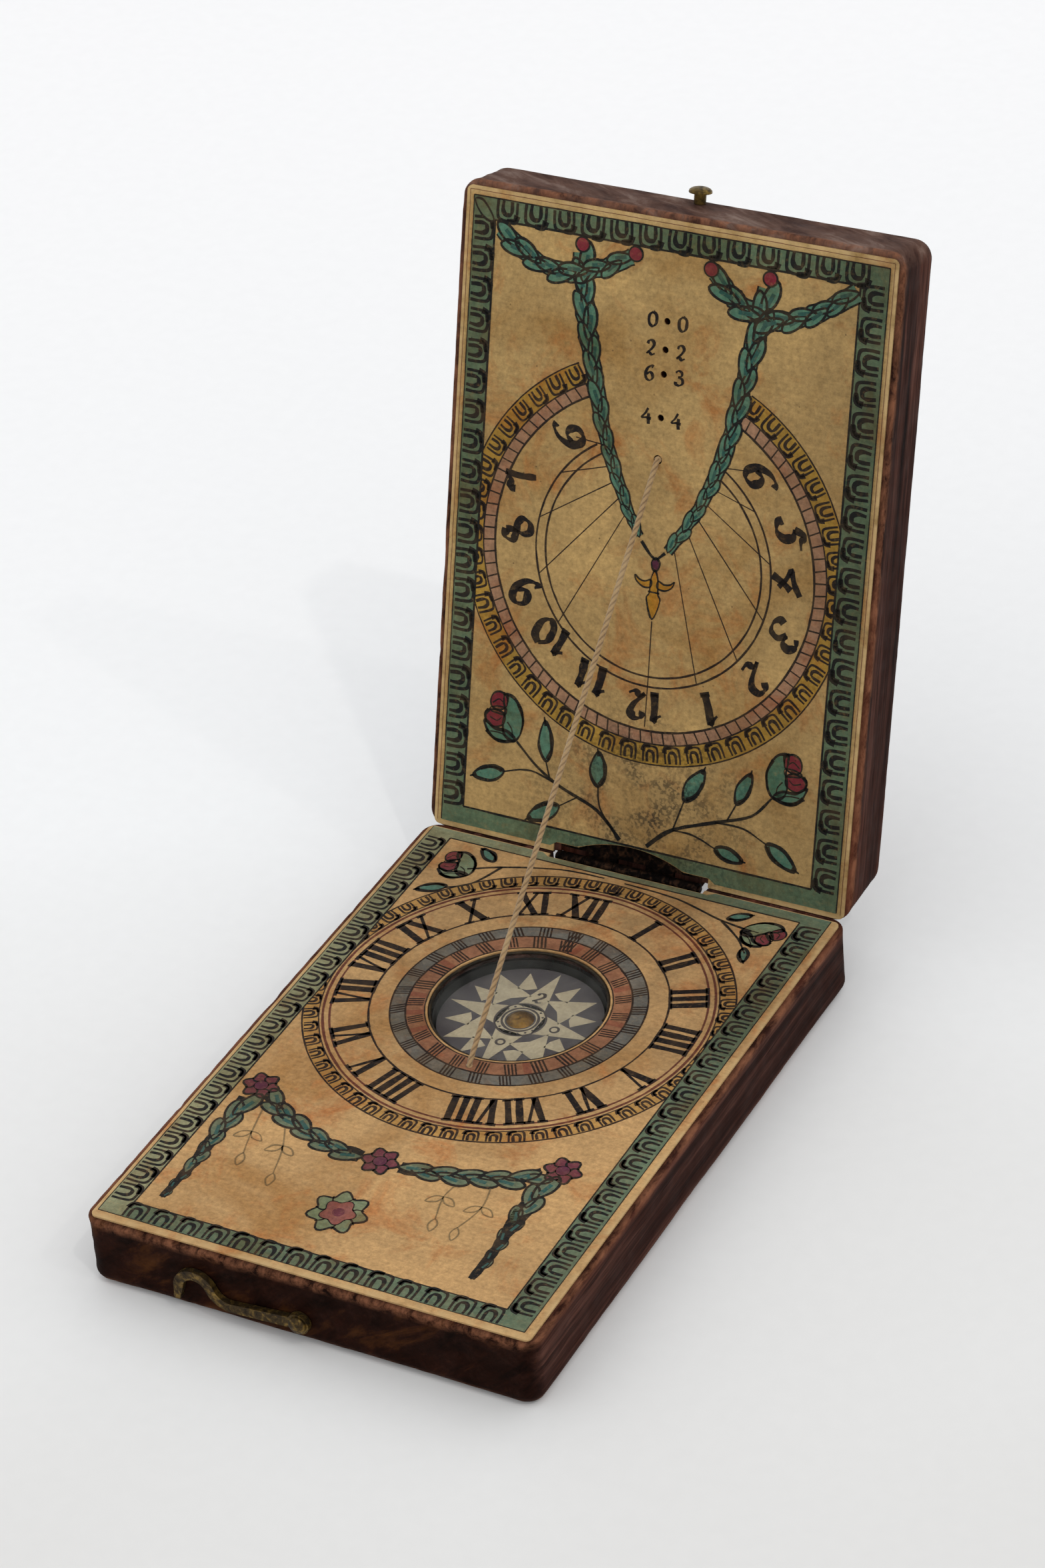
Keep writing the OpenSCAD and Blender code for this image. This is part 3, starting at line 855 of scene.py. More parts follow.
class Film:
    """Ink on one sheet, gathered stroke by stroke as thin closed films.

    Each film's top stands proud of the paper by its layer, and its underside is in the paper.
    """

    LAYER_MM = 0.005
    SUNK_MM = 0.05
    SHAKE_MM = 0.035
    SHAKE_SCALE = 0.9
    RULE_STEP_MM = 2.0

    def __init__(self, sheet: Sheet) -> None:
        """Starts with no ink on a sheet."""
        self.sheet = sheet
        self.vertices: list[Vector] = []
        self.faces: list[tuple[int, ...]] = []
        self.tints: list[Colour] = []

    def _lay(self, points: Outline, ink: Ink, last: Ink | None = None) -> tuple[list[int], list[int]]:
        """Adds vertices at the top and the underside of a film.

        Args:
            points: Places on the sheet.
            ink: The ink.
            last: The ink that it passes into by the last point, or None for the same.

        Returns:
            The numbers of the top vertices and of those below them.
        """
        rows = []
        tint = Vector(ink.tint())
        change = Vector((last or ink).tint()) - tint
        for h in (self.LAYER_MM * (ink.layer + 1), -self.SUNK_MM):
            first = len(self.vertices)
            self.vertices.extend(self.sheet.at(x, u, h) for x, u in points)
            self.tints.extend(tuple(tint + change * i / (len(points) - 1)) for i in range(len(points)))
            rows.append(list(range(first, first + len(points))))
        return rows[0], rows[1]

    def strip(
        self, left: Outline, right: Outline, ink: Ink, closed: bool = False, last: Ink | None = None
    ) -> None:
        """Lays ink between two edges that run side by side.

        Args:
            left: The left edge, along the way of the strip.
            right: The right edge, with as many points.
            ink: The ink.
            closed: Whether the strip joins its own start.
            last: The ink that it passes into by its end, or None for the same.
        """
        a, low_a = self._lay(left, ink, last)
        b, low_b = self._lay(right, ink, last)
        count = len(left)
        for i in range(count if closed else count - 1):
            k = (i + 1) % count
            self.faces += [
                (a[i], b[i], b[k], a[k]), (low_a[i], low_a[k], low_b[k], low_b[i]),
                (a[i], a[k], low_a[k], low_a[i]), (low_b[i], low_b[k], b[k], b[i]),
            ]
        if not closed:
            self.faces += [(a[0], low_a[0], low_b[0], b[0]), (a[-1], b[-1], low_b[-1], low_a[-1])]

    def bar(self, x: Point, u: Point, ink: Ink) -> None:
        """Fills the rectangle between two places along x and two along u."""
        self.strip([(x[0], u[0]), (x[0], u[1])], [(x[1], u[0]), (x[1], u[1])], ink)

    def fill(self, outline: Outline, ink: Ink) -> None:
        """Fills a simple outline.

        Args:
            outline: Its points, either way round.
            ink: The ink.
        """
        count = len(outline)
        area = sum(a[0] * b[1] - b[0] * a[1] for a, b in zip(outline, [*outline[1:], outline[0]]))
        top, low = self._lay(outline if area > 0 else list(reversed(outline)), ink)
        self.faces += [tuple(top), tuple(reversed(low))]
        for i in range(count):
            k = (i + 1) % count
            self.faces.append((top[i], low[i], low[k], top[k]))

    def line(
        self, points: Outline, width: float | Callable[[Vector, float], float], ink: Ink,
        closed: bool = False,
    ) -> None:
        """Draws a line with a slightly unsteady hand.

        Args:
            points: The points that it runs through.
            width: Its width, or a function of its direction and of the share drawn so far.
            ink: The ink.
            closed: Whether it returns to its start.
        """
        count = len(points)
        left: list[Point] = []
        right: list[Point] = []
        for i in range(count):
            ahead = points[(i + 1) % count if closed else min(i + 1, count - 1)]
            behind = points[i - 1 if closed or i else 0]
            way = (Vector(ahead) - Vector(behind)).normalized()
            here = Vector(points[i])
            drift = noise.noise(Vector((here.x, here.y, 3.0)) * self.SHAKE_SCALE)
            size = width(way, i / max(1, count - 1)) if callable(width) else width
            half = size * (1 + 0.35 * drift) / 2
            side = Vector((-way.y, way.x))
            here = here + side * drift * self.SHAKE_MM
            left.append(tuple(here + side * half))
            right.append(tuple(here - side * half))
        self.strip(left, right, ink, closed)

    def rule(self, corners: Outline, width: float, ink: Ink) -> None:
        """Rules straight lines from corner to corner, in steps for the hand's shake."""
        for start, end in zip(corners, corners[1:]):
            count = max(1, math.ceil(math.dist(start, end) / self.RULE_STEP_MM))
            points = [tuple(a + (b - a) * i / count for a, b in zip(start, end)) for i in range(count + 1)]
            self.line(points, width, ink)

    def pen(self, points: Outline, nib: Nib, ink: Ink) -> None:
        """Draws a smooth line with a broad pen."""
        self.line(curve_through(points), lambda way, _: nib.width(way), ink)

    def taper(self, points: Outline, start: float, end: float, ink: Ink) -> None:
        """Draws a smooth line whose width goes from one value to another."""
        self.line(curve_through(points), lambda _, share: start + (end - start) * share, ink)

    def band(self, centre: Point, outer: float, inner: float, ink: Ink,
             start: float = 0, end: float = 360) -> None:
        """Fills a ring or a part of one.

        Args:
            centre: Its centre.
            outer: Its outer radius.
            inner: Its inner radius.
            ink: The ink.
            start: First angle in degrees.
            end: Last angle, larger than the first.
        """
        full = end - start >= 360
        outside = circle(centre, outer, start, end)
        inside = circle(centre, inner, start, end)
        if full:
            outside.pop()
            inside.pop()
        self.strip(inside, outside, ink, full)

    def ring(self, centre: Point, radius: float, width: float, ink: Ink,
             start: float = 0, end: float = 360) -> None:
        """Draws a circle, or an arc of one, as a line."""
        points = circle(centre, radius, start, end)
        full = end - start >= 360
        self.line(points[:-1] if full else points, width, ink, full)

    def dot(self, centre: Point, radius: float, ink: Ink) -> None:
        """Fills a small disc."""
        self.fill(circle(centre, radius, 0, 360, 24)[:-1], ink)

    def shape(self, outline: Outline, fill: Ink, line: Ink, width: float = 0.22) -> None:
        """Paints a smooth closed shape and outlines it."""
        smooth = curve_through(outline, 5, closed=True)
        self.fill(smooth, fill)
        self.line(smooth, lambda way, _: Nib(width * 1.6, width * 0.7, 70).width(way), line, True)

    def mesh(self, name: str, material: Material) -> Piece:
        """Makes the gathered films one mesh.

        Args:
            name: The piece's name.
            material: A material that reads the ink attribute.

        Returns:
            The piece.
        """
        piece = mesh_piece(name, self.vertices, self.faces, material)
        colours = piece.data.color_attributes.new("ink", "FLOAT_COLOR", "POINT")
        for item, tint in zip(colours.data, self.tints):
            item.color = (*tint, 1.0)
        return piece


# Numerals


DIGITS: dict[str, tuple[Outline, ...]] = {
    "0": (((0.34, 1), (0.08, 0.72), (0.1, 0.2), (0.36, 0), (0.6, 0.26), (0.6, 0.78), (0.34, 1)),),
    "1": (((0.12, 0.74), (0.3, 0.86), (0.42, 1.02)), ((0.4, 1), (0.37, 0.5), (0.4, 0)),
          ((0.24, 0.02), (0.56, 0.03))),
    "2": (((0.1, 0.72), (0.18, 0.94), (0.42, 0.98), (0.56, 0.76), (0.44, 0.48), (0.16, 0.18), (0.04, 0.05)),
          ((0.04, 0.06), (0.22, 0.14), (0.42, 0.02), (0.64, 0.12))),
    "3": (((0.08, 0.84), (0.26, 1), (0.52, 0.9), (0.5, 0.66), (0.26, 0.56)),
          ((0.26, 0.56), (0.56, 0.46), (0.6, 0.18), (0.36, 0), (0.12, 0.06), (0.1, 0.22))),
    "4": (((0.44, 1.02), (0.26, 0.66), (0.02, 0.34), (0.34, 0.36), (0.68, 0.32)),
          ((0.5, 0.68), (0.48, 0.34), (0.52, -0.06))),
    "5": (((0.66, 1.02), (0.42, 0.92), (0.2, 0.96), (0.16, 0.58)),
          ((0.16, 0.58), (0.4, 0.62), (0.58, 0.4), (0.5, 0.1), (0.24, 0), (0.08, 0.12))),
    "6": (((0.62, 0.94), (0.46, 1), (0.2, 0.8), (0.06, 0.4), (0.18, 0.06), (0.42, 0),
           (0.6, 0.2), (0.54, 0.46), (0.34, 0.54), (0.16, 0.36)),),
    "7": (((0.06, 0.8), (0.14, 0.98), (0.36, 0.88), (0.64, 1)), ((0.64, 1), (0.44, 0.56), (0.3, 0))),
    "8": (((0.54, 0.84), (0.34, 1), (0.14, 0.82), (0.3, 0.58), (0.54, 0.36), (0.56, 0.12), (0.32, 0),
           (0.1, 0.14), (0.16, 0.4), (0.42, 0.62), (0.54, 0.84)),),
    "9": (((0.08, 0.06), (0.24, 0), (0.5, 0.2), (0.62, 0.6), (0.5, 0.94), (0.26, 1),
           (0.08, 0.8), (0.14, 0.54), (0.34, 0.46), (0.52, 0.64)),),
}
DIGIT_STEP = 0.72


def write_digits(
    film: Film, text: str, centre: Point, top: float, height: float, nib: Nib, ink: Ink
) -> None:
    """Writes a plain number with the broad pen.

    Args:
        film: The film to draw on.
        text: Its digits.
        centre: The middle of the number.
        top: Direction in which its top points, in degrees from up, anticlockwise.
        height: Height of a digit.
        nib: The pen.
        ink: The ink.
    """
    turned = Nib(nib.wide, nib.thin, nib.slant + top)
    for i, digit in enumerate(text):
        shift = (i - (len(text) - 1) / 2) * DIGIT_STEP
        for stroke in DIGITS[digit]:
            local = [(x - 0.34 + shift, u - 0.5) for x, u in stroke]
            film.pen(placed(local, centre, height, top), turned, ink)


@dataclass(frozen=True)
class RomanPen:
    """Cuts roman numerals with slab serifs. Sizes are shares of the height.

    Attributes:
        thick: Width of a stem.
        thin: Width of a hairline.
        serif: Half length of a serif.
    """

    thick: float = 0.19
    thin: float = 0.09
    serif: float = 0.14

    # A letter's width and its bars, each with its top place, its foot place and whether it is thick
    LETTERS = {
        "I": (0.3, ((0.15, 0.15, True),)),
        "V": (0.54, ((0.1, 0.28, True), (0.46, 0.28, False))),
        "X": (0.64, ((0.11, 0.55, True), (0.55, 0.11, False))),
    }

    def write(self, film: Film, text: str, centre: Point, top: float, height: float, ink: Ink) -> None:
        """Writes a numeral.

        Args:
            film: The film to draw on.
            text: Its letters, of I, V and X.
            centre: The middle of the numeral.
            top: Direction in which its top points, in degrees from up, anticlockwise.
            height: Its height.
            ink: The ink.
        """
        def rule(points: Outline, width: float) -> None:
            """Draws a straight bar."""
            film.line(placed(points, centre, height, top), width * height, ink)

        place = -sum(self.LETTERS[letter][0] for letter in text) / 2
        for letter in text:
            step, bars = self.LETTERS[letter]
            for head, foot, is_thick in bars:
                ends = [(place + head, 0.5), (place + foot, -0.5)]
                middle = (ends[0][0] + ends[1][0]) / 2
                rule([ends[0], (middle, 0), ends[1]], self.thick if is_thick else self.thin)
                for x, u in ends[:1] if letter == "V" else ends:
                    rule([(x - self.serif, u), (x + self.serif, u)], self.thin * 1.2)
            place += step


# Flowers and leaves


def draw_leaf(film: Film, base: Point, tip: Point, width: float) -> None:
    """Draws a pointed leaf with one side in shade.

    Args:
        film: The film to draw on.
        base: Its foot.
        tip: Its point.
        width: Its greatest width.
    """
    along = Vector(tip) - Vector(base)
    length = along.length
    turn = math.degrees(math.atan2(along.y, along.x))
    half = width / 2
    blade = [(0, 0), (0.22 * length, half * 0.85), (0.55 * length, half), (0.98 * length, 0.05 * half),
             (0.6 * length, -half * 0.9), (0.22 * length, -half * 0.8)]
    film.shape(placed(blade, base, 1, turn), Inks.TEAL, Inks.OUTLINE, 0.32)
    shade = [(0.05 * length, -0.1 * half), (0.3 * length, -0.72 * half), (0.7 * length, -0.62 * half)]
    film.taper(placed(shade, base, 1, turn), 0.5, 0.2, Inks.OUTLINE)
    point = [(0.86 * length, 0), (1.08 * length, 0.08 * width)]
    film.taper(placed(point, base, 1, turn), 0.5, 0.16, Inks.OUTLINE)


def draw_rose(
    film: Film, centre: Point, size: float, turn: float, flip: bool,
    petals: Ink = Inks.CRIMSON, leaves: Ink = Inks.TEAL,
) -> None:
    """Draws a rose bud: a round calyx with two petals that break out of it.

    Args:
        film: The film to draw on.
        centre: Its middle.
        size: Its height.
        turn: Its turn in degrees.
        flip: Whether left and right are swapped.
        petals: Colour of the petals.
        leaves: Colour of the calyx.
    """
    line = Inks.OUTLINE

    def put(points: Outline) -> list[Point]:
        """Places points of the unit rose."""
        return placed(points, centre, size, turn, flip)

    for outline, ink, width in (
        ([(0.08, 0.44), (0.26, 0.38), (0.39, 0.16), (0.41, -0.08), (0.33, -0.34), (0.17, -0.47),
          (0, -0.36), (-0.02, -0.14), (0.05, 0.1), (0.04, 0.3)], leaves, 0.3),
        ([(-0.41, -0.1), (-0.33, -0.34), (-0.14, -0.48), (0.1, -0.48), (0.21, -0.42), (0.05, -0.28),
          (-0.2, -0.24), (-0.34, -0.12)], leaves, 0.3),
        ([(-0.26, 0.16), (-0.1, 0.2), (0.08, 0.16), (0.04, 0.04), (-0.14, 0.07), (-0.24, 0.1)],
         Inks.CREAM, 0.14),
        ([(-0.37, 0.08), (-0.16, 0.13), (0.02, 0.05), (0, -0.14), (-0.22, -0.21), (-0.37, -0.1)],
         petals, 0.18),
        ([(-0.23, 0.34), (-0.14, 0.46), (0, 0.48), (0.11, 0.38), (0.09, 0.2), (-0.07, 0.13),
          (-0.22, 0.18)], petals, 0.18),
    ):
        film.shape(put(outline), ink, line, width)
    for fold, start, end in (
        ([(0.34, 0.26), (0.42, -0.04), (0.34, -0.32)], 0.45, 0.25),
        ([(-0.38, -0.28), (-0.22, -0.44), (0.02, -0.49)], 0.6, 0.3),
        ([(0.08, -0.1), (0.16, -0.24), (0.16, -0.4)], 0.22, 0.12),
        ([(-0.3, 0.12), (-0.38, 0.02), (-0.36, -0.12)], 0.5, 0.2),
        ([(0.04, 0.46), (0.14, 0.4), (0.1, 0.24)], 0.45, 0.2),
        ([(-0.2, 0.26), (-0.06, 0.34), (0.02, 0.28)], 0.22, 0.12),
        ([(-0.28, -0.02), (-0.14, -0.08), (-0.04, -0.02)], 0.22, 0.12),
        ([(-0.3, -0.3), (-0.12, -0.32), (0.04, -0.38)], 0.2, 0.12),
    ):
        film.taper(put(fold), start * size / 7, end * size / 7, line)


def draw_rosette(film: Film, centre: Point, radius: float, outer: Ink, heart: Ink, petals: int = 6) -> None:
    """Draws a round flower of lobed petals.

    Args:
        film: The film to draw on.
        centre: Its middle.
        radius: Its radius.
        outer: Colour of the petals.
        heart: Colour of the middle.
        petals: How many petals it has.
    """
    waves = []
    for i in range(8 * petals):
        a = 2 * math.pi * i / (8 * petals)
        reach = radius * (0.86 + 0.14 * math.cos(petals * a))
        waves.append((centre[0] + reach * math.cos(a), centre[1] + reach * math.sin(a)))
    film.fill(waves, outer)
    film.line(waves, 0.3, Inks.OUTLINE, True)
    for i in range(petals):
        angle = 360 * (i + 0.5) / petals
        spoke = [circle(centre, radius * r, angle + bend, angle + bend + 1)[0]
                 for r, bend in ((0.3, -14), (0.55, 8), (0.8, 0))]
        film.taper(spoke, 0.34, 0.16, Inks.OUTLINE)
    film.dot(centre, radius * 0.34, heart)
    film.ring(centre, radius * 0.34, 0.22, Inks.OUTLINE)


# What repeats along a path


def motif_tree() -> bpy.types.GeometryNodeTree:
    """Builds the tree that sets a motif at even steps along curves on a sheet.

    Returns:
        The tree, with inputs for the motif, its spacing and how it lies.
    """
    tree = bpy.data.node_groups.new("motifs_along_paths", "GeometryNodeTree")
    for name, kind in (
        ("Geometry", "Geometry"), ("Motif", "Object"), ("Pitch", "Float"), ("Facing", "Vector"),
        ("Fan", "Float"), ("Rise", "Float"), ("End Scale", "Float"), ("Unevenness", "Float"),
        ("Seed", "Int"), ("Material", "Material"),
    ):
        tree.interface.new_socket(name, in_out="INPUT", socket_type="NodeSocket" + kind)
    tree.interface.new_socket("Geometry", in_out="OUTPUT", socket_type="NodeSocketGeometry")
    n = Nodes(tree)
    given = n.node("NodeGroupInput", {}).outputs

    def uneven(seed_step: int) -> Socket:
        """Gives an even random number from -1 to 1 times the unevenness."""
        seed = n.sum("ADD", given["Seed"], seed_step)
        made = n.node("FunctionNodeRandomValue", {2: -1, 3: 1, "Seed": seed}, data_type="FLOAT")
        return n.times(made.outputs[1], given["Unevenness"])

    steps = n.node("GeometryNodeResampleCurve", {"Curve": given["Geometry"], "Length": given["Pitch"]},
                   mode="LENGTH")
    spline = n.node("GeometryNodeSplineParameter", {}).outputs
    rise = n.times(spline["Index"], given["Rise"])
    lift = n.node("ShaderNodeVectorMath", {0: given["Facing"], "Scale": rise}, operation="SCALE")
    raised = n.node("GeometryNodeSetPosition", {"Geometry": steps.outputs[0], "Offset": lift.outputs[0]})

    axes = {
        "Primary Axis": given["Facing"], "Secondary Axis": n.node("GeometryNodeInputTangent", {}).outputs[0],
    }
    facing = n.node("FunctionNodeAxesToRotation", axes)
    parity = n.sum("MODULO", spline["Index"], 2)
    side = n.sum("SUBTRACT", n.times(parity, 2), 1)
    swing = n.sum("ADD", n.times(side, given["Fan"]), uneven(0))
    spin = n.node("FunctionNodeAxisAngleToRotation", {"Axis": (0, 0, 1), "Angle": swing})
    turned = n.node("FunctionNodeRotateRotation",
                    {"Rotation": facing.outputs[0], "Rotate By": spin.outputs[0]}, rotation_space="LOCAL")
    change = n.sum("SUBTRACT", given["End Scale"], 1)
    size = n.sum("ADD", n.times(spline["Factor"], change), 1)
    size = n.sum("ADD", size, uneven(1))

    motif = n.node("GeometryNodeObjectInfo", {"Object": given["Motif"]}).outputs["Geometry"]
    copies = n.node("GeometryNodeInstanceOnPoints", {
        "Points": raised.outputs[0], "Instance": motif, "Rotation": turned.outputs[0], "Scale": size,
    })
    real = n.node("GeometryNodeRealizeInstances", {"Geometry": copies.outputs[0]})
    coat = n.node("GeometryNodeSetMaterial", {"Geometry": real.outputs[0], "Material": given["Material"]})
    n.node("NodeGroupOutput", {0: coat.outputs[0]})
    return tree


@dataclass
class MotifRow:
    """A motif that repeats along paths on a sheet.

    Attributes:
        name: The piece's name.
        pitch: Millimetres from one motif to the next.
        paths: The paths, in sheet coordinates.
        draw: Draws the motif round the origin, with the path's way to the right.
        unevenness: Random share of turn and size.
        seed: Seed of what is random.
        fan: Degrees that the motifs lean, to the left and the right in turn.
        rise: Millimetres that each motif lies above the last.
        end_scale: Size of the last motif on a path against the first.
    """

    name: str
    pitch: float
    paths: Sequence[Outline]
    draw: Callable[[Film], None]
    unevenness: float
    seed: int
    fan: float = 0
    rise: float = 0
    end_scale: float = 1

    def build(self, tree: bpy.types.GeometryNodeTree, sheet: Sheet, material: Material) -> Piece:
        """Sets the motifs and makes them one plain mesh.

        Args:
            tree: The tree from motif_tree().
            sheet: The sheet that the paths lie on.
            material: The material of the motifs.

        Returns:
            The piece.
        """
        film = Film(Sheet())
        self.draw(film)
        motif = film.mesh(self.name + "_motif", material)
        curve = bpy.data.curves.new(self.name, "CURVE")
        curve.dimensions = "3D"
        for path in self.paths:
            spline = curve.splines.new("POLY")
            spline.points.add(len(path) - 1)
            for point, (x, u) in zip(spline.points, path):
                point.co = (*sheet.at(x, u), 1)
        piece = new_object(self.name, curve)
        modifier = piece.modifiers.new("motifs", "NODES")
        modifier.node_group = tree
        values = {
            "Motif": motif, "Pitch": self.pitch * MM, "Facing": tuple(sheet.out),
            "Fan": math.radians(self.fan), "Rise": self.rise * MM, "End Scale": self.end_scale,
            "Unevenness": self.unevenness, "Seed": self.seed, "Material": material,
        }
        for item in tree.interface.items_tree:
            if item.in_out == "INPUT" and item.name in values:
                modifier[item.identifier] = values[item.name]
        made = applied(piece)
        bpy.data.objects.remove(motif)
        return made


def draw_arch(film: Film, width: float, height: float, weight: float, ink: Ink) -> None:
    """Draws a round arch with a smaller one in it, open towards the left of its path.

    Args:
        film: The film to draw on.
        width: Its width.
        height: Its height.
        weight: Width of its heaviest line.
        ink: The ink.
    """
    w = width / 2
    h = height / 2
    film.pen([(-w, h), (-1.02 * w, -0.1 * h), (-0.9 * w, -0.78 * h), (-0.5 * w, -h), (0.5 * w, -h),
              (0.9 * w, -0.78 * h), (w, -0.1 * h), (0.98 * w, h)], Nib(weight * 0.8, weight * 0.5, 35), ink)
    film.taper([(0, -1.02 * h), (0.82 * w, -0.94 * h), (1.04 * w, -0.3 * h)], weight, weight * 1.9, ink)
    film.pen([(-0.42 * w, h), (-0.48 * w, 0.1 * h), (-0.2 * w, -0.36 * h),
              (0.3 * w, -0.34 * h), (0.48 * w, 0.1 * h), (0.42 * w, h)],
             Nib(weight * 1.3, weight * 0.6, 60), ink)


def draw_garland_leaf(film: Film, length: float, width: float, wash: Ink) -> None:
    """Draws one leaf of a plaited garland, with its point at the origin and its foot behind.

    Args:
        film: The film to draw on.
        length: Its length.
        width: Its width.
        wash: Its colour.
    """
    w = width / 2
    blade = [(-length, -0.1 * w), (-0.82 * length, 0.8 * w), (-0.42 * length, w),
             (0.05 * length, 0), (-0.36 * length, -0.9 * w), (-0.78 * length, -0.8 * w)]
    smooth = curve_through(blade, 3, closed=True)
    film.fill(smooth, wash)
    film.line(smooth, 0.34, Inks.OUTLINE, True)
    vein = Inks.DEEP_TEAL.over(Inks.OUTLINE.layer)
    film.line([(-0.66 * length, 0.15 * w), (-0.2 * length, 0.1 * w)], 0.5, vein)


# The leaves


@dataclass
class LeafBlock:
    """A wooden leaf under its paper: a block with unevenly worn edges, cut for what it carries.

    Sizes are in millimetres. Depth is measured from the printed face. The bevel is how far the hinge
    end slants for each millimetre of depth, the nose how far that end stands back, and the u_sign is
    1 where u runs up from the hinge and -1 where it runs down.
    """

    name: str
    sheet: Sheet
    u_sign: int
    material: Material
    bevel: float
    nose: float
    seed: float
    width: float = 61.4
    length: float = 88.0
    top: float = 0.25
    depth: float = 10.0
    corner: float = 2.4
    least_corner: float = 0.15
    arris: float = 0.5
    hinge_arris: float = 0.06
    worn: float = 2.2
    dent: float = 0.09
    cap_inset: float = 1.4
    rub_reach: float = 1.3

    SIDE_STEPS = 84
    END_STEPS = 60
    CORNER_STEPS = 9
    ARC_STEPS = 7
    FACE_STEPS = 8

    def _spots(self) -> list[tuple[int, float, float]]:
        """Lists the points of the outline.

        Returns:
            For each, its corner, its outward direction in degrees and its share of the way on to
            the next corner.
        """
        spots = []
        for corner, start in enumerate((-90, 0, 90, 180)):
            steps = (self.SIDE_STEPS, self.END_STEPS)[corner % 2]
            arc = range(self.CORNER_STEPS + 1)
            spots += [(corner, start + 90 * i / self.CORNER_STEPS, 0.0) for i in arc]
            spots += [(corner, start + 90, i / steps) for i in range(1, steps)]
        return spots

    def _edge(self, inset: float, spot: tuple[int, float, float]) -> Point:
        """Places a point of the outline.

        Args:
            inset: How far the outline is drawn in.
            spot: Which point, from _spots().

        Returns:
            The point, from the middle of the leaf.
        """
        corner, angle, share = spot
        radius = max(self.corner - inset, self.least_corner)
        x = self.width / 2 - inset - radius
        u = self.length / 2 - inset - radius
        corners = ((x, -u), (x, u), (-x, u), (-x, -u))
        way = (math.cos(math.radians(angle)), math.sin(math.radians(angle)))
        ends = zip(corners[corner], corners[(corner + 1) % 4], way)
        return tuple(here + (after - here) * share + radius * w for here, after, w in ends)

    def _profile(self, x: float, u: float) -> list[tuple[float, float]]:
        """Gives the section through the worn edge at a place, as insets and depths.

        Args:
            x: Sideways place.
            u: Lengthways place.

        Returns:
            The section from the paper's side to the far face.
        """
        spot = Vector((x, u, self.seed))
        slow = noise.noise(spot * 0.11)
        quick = noise.noise(spot * 0.55)
        chip = max(0.0, noise.noise(spot * 0.33 + Vector((7, 3, 1))) - 0.34)
        to_hinge = (-self.u_sign * u - self.length / 2 + self.corner) / self.corner
        hinge = min(1.0, max(0.0, to_hinge))
        near = self.arris * (0.75 + 0.25 * quick) + 1.2 * chip
        near += (self.hinge_arris - near) * hinge
        far = self.worn * (0.86 + 0.14 * slow) - 0.2 * abs(quick)
        arc = [math.pi / 2 * i / self.ARC_STEPS for i in range(self.ARC_STEPS + 1)]
        rows = [(near + self.cap_inset * 0.6, self.top)]
        rows += [(near * (1 - math.sin(a)), self.top + near * (1 - math.cos(a))) for a in arc]
        low = self.top + near
        high = self.depth - far
        for i in range(1, self.FACE_STEPS):
            share = i / self.FACE_STEPS
            dent = self.dent * (1 + noise.noise(Vector((x * 0.3, u * 0.3, 9 * share + self.seed))))
            rows.append((dent * (1 - hinge), low + (high - low) * share))
        rows += [(far * (1 - math.cos(a)), self.depth - far * (1 - math.sin(a))) for a in arc]
        rows.append((far + self.cap_inset, self.depth))
        return rows

    def place(self, x: float, u: float, depth: float) -> Vector:
        """Places a point that is measured from the middle of the leaf and from its face."""
        along = u + self.length / 2
        away = along if self.u_sign > 0 else self.length - along
        away += (self.bevel * depth - self.nose) * (1 - away / self.length)
        return self.sheet.at(x, self.u_sign * away, -depth)

    def build(self, cutters: Sequence[Piece]) -> Piece:
        """Builds the block and cuts it.

        Args:
            cutters: Solids to cut away.

        Returns:
            The piece.
        """
        spots = self._spots()
        count = len(spots)
        sections = [self._profile(*self._edge(0, spot)) for spot in spots]
        rows = len(sections[0])
        vertices = [
            self.place(*self._edge(section[k][0], spot), section[k][1])
            for k in range(rows) for spot, section in zip(spots, sections)
        ]
        faces = [
            (k + i, k + count + i, k + count + (i + 1) % count, k + (i + 1) % count)
            for k in range(0, (rows - 1) * count, count) for i in range(count)
        ]
        faces += [tuple(range(count)), tuple(reversed(range((rows - 1) * count, rows * count)))]
        block = mesh_piece(self.name, vertices, faces, self.material)
        outward = bmesh.new()
        outward.from_mesh(block.data)
        bmesh.ops.recalc_face_normals(outward, faces=outward.faces)
        outward.to_mesh(block.data)
        outward.free()
        for cutter in cutters:
            cut = block.modifiers.new("cut", "BOOLEAN")
            cut.operation = "DIFFERENCE"
            cut.solver = "EXACT"
            cut.object = cutter
        piece = applied(block)
        for cutter in cutters:
            bpy.data.objects.remove(cutter)
        self._mark_wear(piece)
        shade_smooth(piece, 32)
        return piece

    def _mark_wear(self, piece: Piece) -> None:
        """Writes how exposed to rubbing each vertex is, and which lie on end grain."""
        wear: list[float] = []
        ends: list[float] = []
        for vertex in piece.data.vertices:
            x, u, h = self.sheet.read(vertex.co)
            tip = self.length / 2 - abs(u - self.u_sign * self.length / 2)
            side = min(self.width / 2 - abs(x), tip)
            face = min(-h - self.top, self.depth + h)
            reach = math.hypot(max(side, 0), max(face, 0))
            from_hinge = min(1.0, max(0.0, (self.u_sign * u - 0.4) / self.corner))
            wear.append(max(0.0, 1 - reach / self.rub_reach) * from_hinge)
            ends.append(min(1.0, max(0.0, (self.corner - tip) / (0.7 * self.corner))) * from_hinge)
        write_values(piece, "wear", wear)
        write_values(piece, "end", ends)


